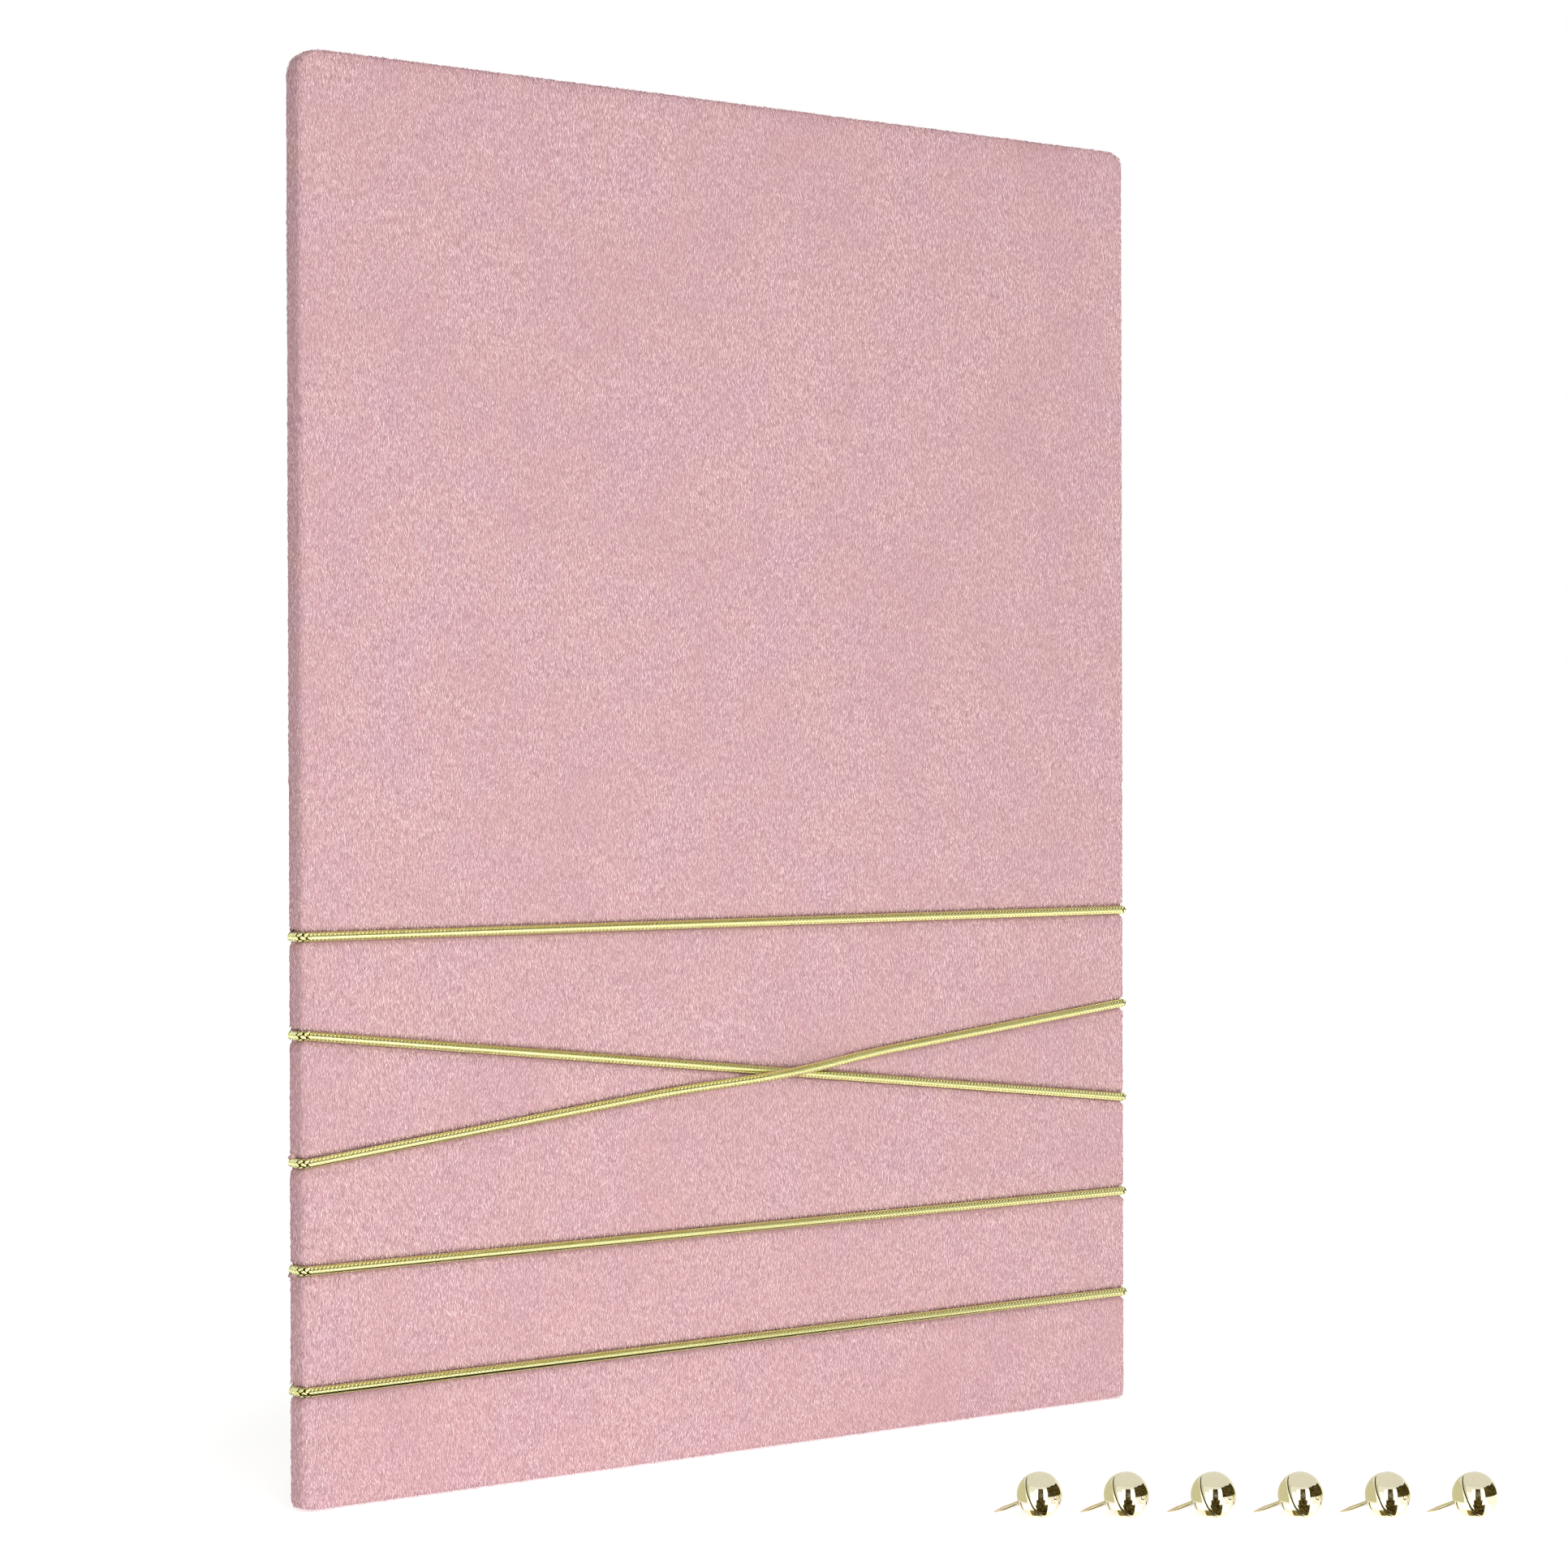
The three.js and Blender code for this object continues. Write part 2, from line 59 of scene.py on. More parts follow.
MM = 0.001
TINY = 1e-9
CLOTH_UV = "cloth"
PILE_SHARE = "pile"
PILE_TINT = "tint"
# how much painted shade a tuft's corner gets, most at its rim
PILE_RIM_SHADE = "rim"
PILE_MAP = "OFBake"  # the map that the pile is laid out on, as seen from the front
# how much painted gap shade a point of the cord gets
YARN_GAP_SHADE = "yarn_edge"
CORD_COUNT = 5
PIN_COUNT = 6
WHITE_CARD_STRENGTH = 1.8
STRAY_SEED = 1
SIZE_SEED = 2
TINT_SEED = 3

Colour = tuple[float, float, float]
Place = tuple[float, float, float]
Span = tuple[float, float]
Socket = bpy.types.NodeSocket
Sockets = bpy.types.bpy_prop_collection
Ring = list[bmesh.types.BMVert]
VertexMaker = Callable[[Vector, Vector, float, float], bmesh.types.BMVert]


class Side(Enum):
    """The two sides of the board, seen from the front."""

    LEFT = -1
    RIGHT = 1


class SocketKind(Enum):
    """The kinds of inputs that a geometry tree takes."""

    GEOMETRY = "NodeSocketGeometry"
    NUMBER = "NodeSocketFloat"
    COUNT = "NodeSocketInt"
    OBJECT = "NodeSocketObject"
    MATERIAL = "NodeSocketMaterial"


@dataclass(frozen=True)
class Grain:
    """A noise pattern: its scale, its detail and how rough the detail is."""

    scale: float
    detail: float = 2.0
    roughness: float = 0.5


class NodeSheet:
    """A small helper that adds and wires the nodes of one node tree."""

    def __init__(self, tree: bpy.types.NodeTree) -> None:
        """Starts from an empty tree.

        Args:
            tree: The shader or geometry node tree that is filled.
        """
        self.tree = tree
        tree.nodes.clear()

    def add(self, kind: str, settings: dict[str, object] | None = None,
            inputs: dict[str | int, object] | None = None) -> bpy.types.Node:
        """Adds a node, sets its properties and fills or wires its inputs.

        Args:
            kind: The node's type name.
            settings: Property values by name.
            inputs: Input values or output sockets, by input name or index.

        Returns:
            The new node.
        """
        node = self.tree.nodes.new(kind)
        for name, value in (settings or {}).items():
            setattr(node, name, value)
        for key, value in (inputs or {}).items():
            self.feed(node.inputs[key], value)
        return node

    def feed(self, socket: Socket, value: object) -> None:
        """Wires a socket to an output, or sets its value.

        Args:
            socket: The input that is fed.
            value: An output socket or a plain value.
        """
        if isinstance(value, Socket):
            self.tree.links.new(value, socket)
        else:
            socket.default_value = value

    def math(self, operation: str, *values: object) -> Socket:
        """Adds a Math node of the shader or geometry tree and gives its result."""
        return self.add("ShaderNodeMath", {"operation": operation}, dict(enumerate(values))).outputs[0]

    def vector(self, operation: str, *values: object) -> Socket:
        """Adds a Vector Math node and gives its vector result."""
        node = self.add("ShaderNodeVectorMath", {"operation": operation}, dict(enumerate(values)))
        return node.outputs[0]

    def scaled(self, vector: Socket, factor: object) -> Socket:
        """Gives a vector times a number."""
        node = self.add("ShaderNodeVectorMath", {"operation": "SCALE"}, {0: vector, "Scale": factor})
        return node.outputs[0]

    def parts(self, vector: Socket) -> Sockets:
        """Gives a vector's three parts."""
        return self.add("ShaderNodeSeparateXYZ", {}, {0: vector}).outputs

    def joined(self, parts: dict[int, object]) -> Socket:
        """Makes a vector of its parts by index, where a part left out is zero."""
        return self.add("ShaderNodeCombineXYZ", {}, parts).outputs[0]

    def noise(self, vector: Socket, grain: Grain) -> Socket:
        """Gives the height of a noise pattern over the vector.

        Args:
            vector: The place that the pattern reads.
            grain: The pattern.

        Returns:
            A height of 0 to 1.
        """
        return self.add("ShaderNodeTexNoise", {}, {
            "Vector": vector, "Scale": grain.scale, "Detail": grain.detail, "Roughness": grain.roughness,
        }).outputs["Fac"]

    def spread(self, value: object, span: Span, to: Span = (0.0, 1.0)) -> Socket:
        """Maps a value from one range to another, clamped."""
        inputs = dict(enumerate((value, *span, *to)))
        return self.add("ShaderNodeMapRange", {"clamp": True}, inputs).outputs[0]

    def blend(self, factor: object, first: object, second: object) -> Socket:
        """Mixes two colours by a factor, with the Mix node's colour sockets."""
        node = self.add("ShaderNodeMix", {"data_type": "RGBA"}, {0: factor, 6: first, 7: second})
        return node.outputs[2]

    def bump(self, height: Socket, depth: float, strength: float) -> Socket:
        """Gives the normals of a height pattern whose full step is depth, in metres."""
        inputs = {"Height": height, "Distance": depth, "Strength": strength}
        return self.add("ShaderNodeBump", {}, inputs).outputs[0]

    def place(self) -> Socket:
        """Gives the place in the board's own frame, in metres."""
        return self.add("ShaderNodeTexCoord").outputs["Object"]

    def millimetres(self) -> Socket:
        """Gives the place in the board's own frame, in millimetres."""
        return self.scaled(self.place(), 1 / MM)

    def attribute(self, name: str) -> Socket:
        """Gives what the mesh keeps under a name."""
        return self.add("ShaderNodeAttribute", {"attribute_name": name}).outputs["Fac"]

    def seen_rays(self) -> Socket:
        """Gives 1 for what the camera, a mirror or glass sees, and 0 for light on the object.

        Returns:
            The share, 0 or 1.
        """
        rays = self.add("ShaderNodeLightPath").outputs
        seen = self.math("MAXIMUM", rays["Is Camera Ray"], rays["Is Transmission Ray"])
        return self.math("MAXIMUM", seen, rays["Is Glossy Ray"])

    def store(self, geometry: object, name: str, value: object, kind: str = "FLOAT",
              domain: str = "POINT") -> Socket:
        """Keeps a value under a name on the geometry of a geometry tree.

        Args:
            geometry: The geometry that keeps the value.
            name: The value's name.
            value: An output socket or a plain value.
            kind: The value's data type.
            domain: What each value belongs to.

        Returns:
            The geometry with the value.
        """
        return self.add("GeometryNodeStoreNamedAttribute", {"domain": domain, "data_type": kind}, {
            "Geometry": geometry, "Name": name, "Value": value,
        }).outputs[0]

    def show(self, kind: str, result: Socket) -> None:
        """Adds the tree's output node and wires the result to it."""
        self.tree.links.new(result, self.add(kind).inputs[0])


def from_display(red: int, green: int, blue: int) -> Colour:
    """Turns a display colour of 0 to 255 into a shader's linear one, by the sRGB curve."""
    shares = (red / 255, green / 255, blue / 255)
    return tuple(s / 12.92 if s <= 0.04045 else ((s + 0.055) / 1.055) ** 2.4 for s in shares)


def rgba(colour: Colour) -> tuple[float, float, float, float]:
    """Adds a full alpha to a colour."""
    return (*colour, 1.0)


def new_material(name: str) -> tuple[bpy.types.Material, NodeSheet]:
    """Makes an empty material and the sheet that fills it.

    Args:
        name: The material's name.

    Returns:
        The material and its sheet of nodes.
    """
    material = bpy.data.materials.new(name)
    material.use_nodes = True
    return material, NodeSheet(material.node_tree)


def geometry_sheet(name: str, inputs: dict[str, SocketKind]) -> NodeSheet:
    """Starts a geometry tree that takes and gives a geometry.

    Args:
        name: The tree's name.
        inputs: The kind of each further input, by its name.

    Returns:
        The sheet that fills the tree.
    """
    tree = bpy.data.node_groups.new(name, "GeometryNodeTree")
    for label, kind in {"Geometry": SocketKind.GEOMETRY, **inputs}.items():
        tree.interface.new_socket(label, in_out="INPUT", socket_type=kind.value)
    tree.interface.new_socket("Geometry", in_out="OUTPUT", socket_type=SocketKind.GEOMETRY.value)
    return NodeSheet(tree)


def grow_on(piece: bpy.types.Object, tree: bpy.types.NodeTree, values: dict[str, object]) -> None:
    """Gives a piece a geometry tree as its modifier, and the tree its inputs.

    Args:
        piece: The object that the tree grows on.
        tree: The geometry tree.
        values: The inputs by their names, which are set by their identifiers.
    """
    grown = piece.modifiers.new(tree.name, "NODES")
    grown.node_group = tree
    for item in tree.interface.items_tree:
        if item.in_out == "INPUT" and item.name in values:
            grown[item.identifier] = values[item.name]


@dataclass(frozen=True)
class Finish:
    """What every finish has: a material's name and its shader's plain values."""

    name: str
    roughness: float
    metallic: float = 0.0

    def make(self) -> bpy.types.Material:
        """Builds the material: one surface shader, fed by the finish's own pattern.

        Returns:
            The finished material.
        """
        material, sheet = new_material(self.name)
        shader = sheet.add("ShaderNodeBsdfPrincipled", {}, {
            "Roughness": self.roughness, "Metallic": self.metallic,
        })
        sheet.show("ShaderNodeOutputMaterial", shader.outputs[0])
        self.pattern(sheet, shader)
        return material

    def pattern(self, sheet: NodeSheet, shader: bpy.types.Node) -> None:
        """Feeds the shader's colour, roughness and normal. Each finish has its own."""
        raise NotImplementedError


@dataclass(frozen=True)
class PlushFinish(Finish):
    """Short-pile plush: strand marks that lean with a drifting nap, with painted shade in their hollows and
    painted highlight on their tops, and rosier worn patches.
    """

    light: Colour = from_display(248, 221, 224)
    cool: Colour = from_display(222, 190, 196)
    warm: Colour = from_display(226, 191, 190)
    deep: Colour = from_display(176, 134, 140)
    worn: Colour = from_display(215, 175, 179)
    tints: Grain = Grain(0.055)
    tint_span: Span = (0.35, 0.65)
    deep_span: Span = (0.28, 0.56)
    light_span: Span = (0.52, 0.80)
    patches: Grain = Grain(0.022, 3.0, 0.6)
    patch_span: Span = (0.44, 0.70)
    patch_share: float = 0.45
    strand_stretch: Place = (1.7, 0.45, 1.0)
    strand_marks: Grain = Grain(1.0, 2.5, 0.55)
    finer_marks: Grain = Grain(1.0, 1.5)
    finer_scale: float = 2.1
    finer_share: float = 0.3
    strand_height: float = 0.9 * MM
    strand_strength: float = 0.75
    sheen: float = 0.15
    sheen_roughness: float = 0.45
    specular: float = 0.15

    def pattern(self, sheet: NodeSheet, shader: bpy.types.Node) -> None:
        """Colours the strands deeper where their height is low and lighter where it is high, which paints
        shade and highlight on them, raises them and gives them a soft sheen.

        Args:
            sheet: The nodes that it adds to.
            shader: The surface shader that it feeds.
        """
        strands = self.strands(sheet)
        tints = sheet.noise(sheet.millimetres(), self.tints)
        main = sheet.blend(sheet.spread(tints, self.tint_span), rgba(self.cool), rgba(self.warm))
        # The deep colour at the strands' low places is painted shade and the light colour at their high
        # places is painted highlight; for the tufts it also carries each tuft's own tone.
        colour = sheet.blend(sheet.spread(strands, self.deep_span), rgba(self.deep), main)
        colour = sheet.blend(sheet.spread(strands, self.light_span), colour, rgba(self.light))
        sheet.feed(shader.inputs["Base Color"], self.worn_over(sheet, colour))
        self.raise_strands(sheet, shader, strands)
        sheet.feed(shader.inputs["Sheen Weight"], self.sheen)
        sheet.feed(shader.inputs["Sheen Roughness"], self.sheen_roughness)
        sheet.feed(shader.inputs["Sheen Tint"], rgba(self.light))
        sheet.feed(shader.inputs["Specular IOR Level"], self.specular)

    def worn_over(self, sheet: NodeSheet, colour: Socket) -> Socket:
        """Lays the rosier patches, where the pile lies flatter, over a colour."""
        patches = sheet.spread(sheet.noise(sheet.millimetres(), self.patches), self.patch_span)
        return sheet.blend(sheet.math("MULTIPLY", patches, self.patch_share), colour, rgba(self.worn))

    def raise_strands(self, sheet: NodeSheet, shader: bpy.types.Node, strands: Socket) -> None:
        """Raises the strand marks of the cloth."""
        raised = sheet.bump(strands, self.strand_height, self.strand_strength)
        sheet.feed(shader.inputs["Normal"], raised)

    def strands(self, sheet: NodeSheet) -> Socket:
        """Gives the height of the strand marks, which follow the cloth's own map.

        Args:
            sheet: The material's nodes.

        Returns:
            A height of 0 to 1.
        """
        cloth = sheet.add("ShaderNodeUVMap", {"uv_map": CLOTH_UV}).outputs[0]
        stretched = sheet.vector("MULTIPLY", sheet.scaled(cloth, 1 / MM), self.strand_stretch)
        fine = sheet.noise(stretched, self.strand_marks)
        finer = sheet.noise(sheet.scaled(stretched, self.finer_scale), self.finer_marks)
        return sheet.math(
            "ADD",
            sheet.math("MULTIPLY", fine, 1 - self.finer_share),
            sheet.math("MULTIPLY", finer, self.finer_share),
        )


@dataclass(frozen=True)
class TuftFinish(PlushFinish):
    """The pile's tufts, each a little lighter or deeper than the next."""

    own_span: Span = (0.46, 0.80)
    side_shade_from_middle: Span = (148.2 * MM, 149.6 * MM)
    side_shade_depth: float = 0.14
    rim_shade_span: Span = (0.35, 1.0)
    rim_shade_depth: float = 0.26

    def strands(self, sheet: NodeSheet) -> Socket:
        """Gives each tuft its own share of light and deep, with painted shade on the board's side faces and
        along each tuft's rim.

        Args:
            sheet: The nodes that it adds to.

        Returns:
            A height of 0 to 1, where 0 is deepest.
        """
        own = sheet.spread(sheet.attribute(PILE_TINT), (0.0, 1.0), self.own_span)
        across = sheet.math("ABSOLUTE", sheet.parts(sheet.place())[0])
        # Painted shade on the tufts of the side faces, by their distance from the middle.
        side = sheet.spread(across, self.side_shade_from_middle, (0.0, self.side_shade_depth))
        # Painted shade along each tuft's rim, none on its ridge.
        rim = sheet.spread(sheet.attribute(PILE_RIM_SHADE), self.rim_shade_span, (0.0, self.rim_shade_depth))
        return sheet.math("SUBTRACT", sheet.math("SUBTRACT", own, side), rim)

    def raise_strands(self, sheet: NodeSheet, shader: bpy.types.Node, strands: Socket) -> None:
        """Adds no marks, because the tufts stand up by themselves."""


@dataclass(frozen=True)
class GoldBraidFinish(Finish):
    """Metallised yarn of the elastic cord: speckled gold floats with painted shade in the gaps between
    them.
    """

    metallic: float = 1.0
    light: Colour = from_display(241, 242, 190)
    deep: Colour = from_display(208, 202, 114)
    # gap is the painted shade in the gaps between the floats
    gap: Colour = from_display(60, 44, 4)
    speckles: Grain = Grain(2.6, 2.0, 0.6)
    speckle_span: Span = (0.35, 0.65)
    gap_shade_span: Span = (0.40, 0.80)

    def pattern(self, sheet: NodeSheet, shader: bpy.types.Node) -> None:
        """Speckles the gold and paints shade on it towards each float's rim.

        Args:
            sheet: The nodes that it adds to.
            shader: The surface shader that it feeds.
        """
        speckles = sheet.spread(sheet.noise(sheet.millimetres(), self.speckles), self.speckle_span)
        gold = sheet.blend(speckles, rgba(self.deep), rgba(self.light))
        # Painted shade in the gaps: towards each float's rim and tips, and over the core.
        rim = sheet.spread(sheet.attribute(YARN_GAP_SHADE), self.gap_shade_span)
        sheet.feed(shader.inputs["Base Color"], sheet.blend(rim, gold, rgba(self.gap)))


@dataclass(frozen=True)
class PlatedFinish(Finish):
    """Plated or bare metal with faint handling marks in its shine."""

    metallic: float = 1.0
    colour: Colour = from_display(232, 222, 186)
    marks: float = 0.06
    clouds: Grain = Grain(0.9, 3.0, 0.6)
    cloud_span: Span = (0.35, 0.7)
    cloud_shade: float = 0.9

    def pattern(self, sheet: NodeSheet, shader: bpy.types.Node) -> None:
        """Clouds the colour and the roughness a little.

        Args:
            sheet: The nodes that it adds to.
            shader: The surface shader that it feeds.
        """
        clouds = sheet.noise(sheet.millimetres(), self.clouds)
        rough = sheet.spread(clouds, self.cloud_span, (self.roughness, self.roughness + self.marks))
        shade = tuple(self.cloud_shade * channel for channel in self.colour)
        sheet.feed(shader.inputs["Base Color"], sheet.blend(clouds, rgba(self.colour), rgba(shade)))
        sheet.feed(shader.inputs["Roughness"], rough)


@dataclass(frozen=True)
class BoardFinish(Finish):
    """Paper board: pulp clouds and short fibres."""

    colour: Colour = from_display(226, 220, 208)
    fibre: Colour = from_display(196, 186, 168)
    fibre_share: float = 0.35
    clouds: Grain = Grain(0.05, 4.0, 0.6)
    cloud_light: float = 1.05
    fibres: Grain = Grain(1.0, 3.0, 0.65)
    fibre_stretch: Place = (0.6, 1.0, 2.4)
    fibre_span: Span = (0.52, 0.72)
    fibre_height: float = 0.08 * MM
    fibre_strength: float = 0.5

    def pattern(self, sheet: NodeSheet, shader: bpy.types.Node) -> None:
        """Scatters fibres over a clouded pulp.

        Args:
            sheet: The nodes that it adds to.
            shader: The surface shader that it feeds.
        """
        place = sheet.millimetres()
        clouds = sheet.noise(place, self.clouds)
        fibres = sheet.noise(sheet.vector("MULTIPLY", place, self.fibre_stretch), self.fibres)
        shown = sheet.math("MULTIPLY", sheet.spread(fibres, self.fibre_span), self.fibre_share)
        pale = tuple(min(1.0, self.cloud_light * channel) for channel in self.colour)
        ground = sheet.blend(clouds, rgba(self.colour), rgba(pale))
        sheet.feed(shader.inputs["Base Color"], sheet.blend(shown, ground, rgba(self.fibre)))
        raised = sheet.bump(fibres, self.fibre_height, self.fibre_strength)
        sheet.feed(shader.inputs["Normal"], raised)


@dataclass(frozen=True)
class Palette:
    """The object's materials, one for each finish."""

    plush: bpy.types.Material
    tuft: bpy.types.Material
    braid: bpy.types.Material
    ball: bpy.types.Material
    needle: bpy.types.Material
    steel: bpy.types.Material
    sheet: bpy.types.Material
    core: bpy.types.Material

    @classmethod
    def mixed(cls) -> "Palette":
        """Makes every material once.

        Returns:
            The object's materials.
        """
        return cls(
            # The ground's colours are deeper than the pile's: painted shade between the tufts.
            plush=PlushFinish(
                "plush ground", roughness=0.95,
                light=from_display(222, 190, 194), cool=from_display(200, 162, 169),
                warm=from_display(204, 166, 167), deep=from_display(160, 116, 124),
                worn=from_display(190, 150, 154),
            ).make(),
            tuft=TuftFinish("plush pile", roughness=0.9).make(),
            braid=GoldBraidFinish("gold braid", roughness=0.08).make(),
            ball=PlatedFinish(
                "pale gold plate", roughness=0.05, colour=from_display(240, 233, 204), marks=0.05,
            ).make(),
            needle=PlatedFinish(
                "needle steel", roughness=0.12, colour=from_display(232, 224, 192), marks=0.08,
            ).make(),
            steel=PlatedFinish(
                "zinc plate", roughness=0.30, colour=from_display(204, 205, 208), marks=0.14,
            ).make(),
            sheet=BoardFinish("backing card", roughness=0.82).make(),
            core=BoardFinish(
                "core fibre board", roughness=0.9, colour=from_display(186, 154, 112),
                fibre=from_display(140, 108, 70), fibre_share=0.6,
            ).make(),
        )


def linked(name: str, data: bpy.types.ID) -> bpy.types.Object:
    """Makes an object of its data and links it to the scene.

    Args:
        name: The object's name.
        data: Its mesh, curve, lamp or camera.

    Returns:
        The new object, at the origin.
    """
    made = bpy.data.objects.new(name, data)
    bpy.context.scene.collection.objects.link(made)
    return made


def dress(mesh: bpy.types.Mesh, material: bpy.types.Material) -> None:
    """Gives a mesh one material in place of what it had."""
    mesh.materials.clear()
    mesh.materials.append(material)


def mesh_object(name: str, mesh: bpy.types.Mesh, material: bpy.types.Material,
                smooth: bool = True) -> bpy.types.Object:
    """Links a mesh as an object at the origin and gives it its material.

    Args:
        name: The piece's name.
        mesh: The finished mesh, in the board's own frame.
        material: The piece's finish.
        smooth: Whether its faces are shaded smooth.

    Returns:
        The new object.
    """
    dress(mesh, material)
    if smooth:
        mesh.shade_smooth()
    else:
        mesh.shade_flat()
    return linked(name, mesh)


def finished_mesh(name: str, work: bmesh.types.BMesh, outward: bool = True) -> bpy.types.Mesh:
    """Turns a working mesh into a finished one, and frees it.

    Args:
        name: The mesh's name.
        work: The working mesh.
        outward: Whether its faces are turned to point out.

    Returns:
        The finished mesh.
    """
    if outward:
        bmesh.ops.recalc_face_normals(work, faces=work.faces)
    mesh = bpy.data.meshes.new(name)
    work.to_mesh(mesh)
    work.free()
    return mesh


def plain_mesh(piece: bpy.types.Object) -> bpy.types.Object:
    """Turns a piece with live modifiers into a plain mesh.

    Args:
        piece: The object whose modifiers are applied.

    Returns:
        The same object, with its result as its mesh and no modifiers.
    """
    graph = bpy.context.evaluated_depsgraph_get()
    result = bpy.data.meshes.new_from_object(piece.evaluated_get(graph), depsgraph=graph)
    piece.modifiers.clear()
    piece.data = result
    return piece


@dataclass
class BoardForm:
    """The board's outline and depths, in metres, as the CAD solids have them."""

    width: float = 300 * MM
    height: float = 400 * MM
    depth: float = 8 * MM
    edge_round: float = 2 * MM
    back_edge_round: float = 0.8 * MM
    top_left_round: float = 6.8 * MM
    top_right_round: float = 4.5 * MM
    bottom_round: float = 1.6 * MM
    least_round: float = 0.4 * MM
    turn_over: float = 42 * MM
    wall: float = 2.25 * MM
    core_depth: float = 3 * MM
    wrap_fit: float = 0.25 * MM

    def flat_rounds(self) -> tuple[float, float, float, float]:
        """Corner radii of the front's flat part: lower left, lower right, upper right, upper left."""
        rounds = (self.bottom_round, self.bottom_round, self.top_right_round, self.top_left_round)
        return tuple(max(radius - self.edge_round, self.least_round) for radius in rounds)


@dataclass
class CordForm:
    """The cords' shared sizes and their end heights, as shares of the board's height.

    Two cords cross, and the one numbered upper lies over the one numbered lower.
    """

    diameter: float = 2.8 * MM
    fit: float = 0.25 * MM
    groove_wall: float = 0.25 * MM
    tail: float = 30 * MM
    crossing_reach: float = 45 * MM
    crossing_bow: float = 0.7 * MM
    staple_wire: float = 0.5 * MM
    lower: int = 1
    upper: int = 2
    end_shares: tuple[tuple[float, float], ...] = (
        (0.3928, 0.3923),
        (0.3253, 0.2422),
        (0.2382, 0.3174),
        (0.1649, 0.1667),
        (0.0820, 0.0858),
    )


@dataclass
class CordRoute:
    """The way of each cord: tail on the back, round the left edge, the front, and back again."""

    board: BoardForm
    cord: CordForm
    bend_steps: int = 10
    crossing_steps: int = 24

    @property
    def radius(self) -> float:
        """The cord's radius."""
        return self.cord.diameter / 2

    @property
    def bend(self) -> float:
        """The radius of the cord's middle line round the board's edges."""
        return self.radius + self.cord.fit + self.cord.groove_wall

    @property
    def half_width(self) -> float:
        """How far the middle line runs from the board's middle at the sides."""
        return self.board.width / 2 - self.board.wall + self.bend

    @property
    def half_depth(self) -> float:
        """How far the middle line runs from the board's middle plane."""
        return self.board.core_depth / 2 + self.board.wrap_fit + self.bend

    @property
    def inner_depth(self) -> float:
        """The depth of the cord's inner side, from which its tails are pressed flat."""
        return self.half_depth - self.radius

    @property
    def press_share(self) -> float:
        """The share of its thickness that a tail keeps under its staple."""
        crown_front = self.board.depth / 2 - self.cord.staple_wire
        return (crown_front - self.cord.fit - self.inner_depth) / self.cord.diameter

    def ends(self, index: int) -> tuple[float, float]:
        """Heights of a cord's left and right ends."""
        left, right = self.cord.end_shares[index]
        return left * self.board.height, right * self.board.height

    def height_at(self, index: int, x: float) -> float:
        """Height of a cord's front stretch at a place across the board.

        Args:
            index: The cord, counted from the top.
            x: The place across the board.

        Returns:
            The height of the middle line.
        """
        left, right = self.ends(index)
        share = min(max((x + self.half_width) / (2 * self.half_width), 0.0), 1.0)
        return left + (right - left) * share

    def crossing(self) -> float:
        """The place across the board where the two slanting cords cross.

        Returns:
            The place, from the board's middle.
        """
        low_left, low_right = self.ends(self.cord.lower)
        up_left, up_right = self.ends(self.cord.upper)
        apart = low_left - up_left
        return -self.half_width + 2 * self.half_width * apart / (apart + up_right - low_right)

    def rise(self, index: int, x: float) -> float:
        """How far a cord is lifted by the one that it crosses, from 0 to 1.

        Args:
            index: The cord, counted from the top.
            x: The place across the board.

        Returns:
            The share of the full lift.
        """
        away = abs(x - self.crossing()) / self.cord.crossing_reach
        if index != self.cord.upper or away >= 1:
            return 0.0
        return (1 + math.cos(math.pi * away)) / 2

    def front(self, index: int) -> list[Vector]:
        """Points of a cord's front stretch where it passes over another.

        Args:
            index: The cord, counted from the top.

        Returns:
            The points from left to right, or none where nothing is crossed.
        """
        if index != self.cord.upper:
            return []
        points = []
        for step in range(self.crossing_steps + 1):
            share = -1 + 2 * step / self.crossing_steps
            x = self.crossing() + self.cord.crossing_reach * share
            rise = self.rise(index, x)
            points.append(Vector((
                x,
                -self.half_depth - (self.cord.diameter + self.cord.fit) * rise,
                self.height_at(index, x) - self.cord.crossing_bow * rise,
            )))
        return points

    def edge(self, side: Side, height: float) -> list[Vector]:
        """Points from a tail's end on the back, round both bends, to the front.

        Args:
            side: The side of the board.
            height: The cord's height at that side.

        Returns:
            The points from the tail's end to the front.
        """
        points = [Vector((side.value * (self.board.width / 2 - self.cord.tail), self.half_depth, height))]
        for face in (1, -1):
            for step in range(self.bend_steps + 1):
                turn = math.pi / 2 * step / self.bend_steps
                out, along = math.sin(turn), math.cos(turn)
                if face < 0:
                    out, along = along, out
                points.append(Vector((
                    side.value * (self.half_width - self.bend + self.bend * out),
                    face * (self.half_depth - self.bend + self.bend * along),
                    height,
                )))
        return points

    def points(self, index: int) -> list[Vector]:
        """The whole way of a cord, from its left tail to its right one.

        Args:
            index: The cord, counted from the top.

        Returns:
            The points of the middle line.
        """
        left, right = self.ends(index)
        way = self.edge(Side.LEFT, left) + self.front(index)
        return way + list(reversed(self.edge(Side.RIGHT, right)))


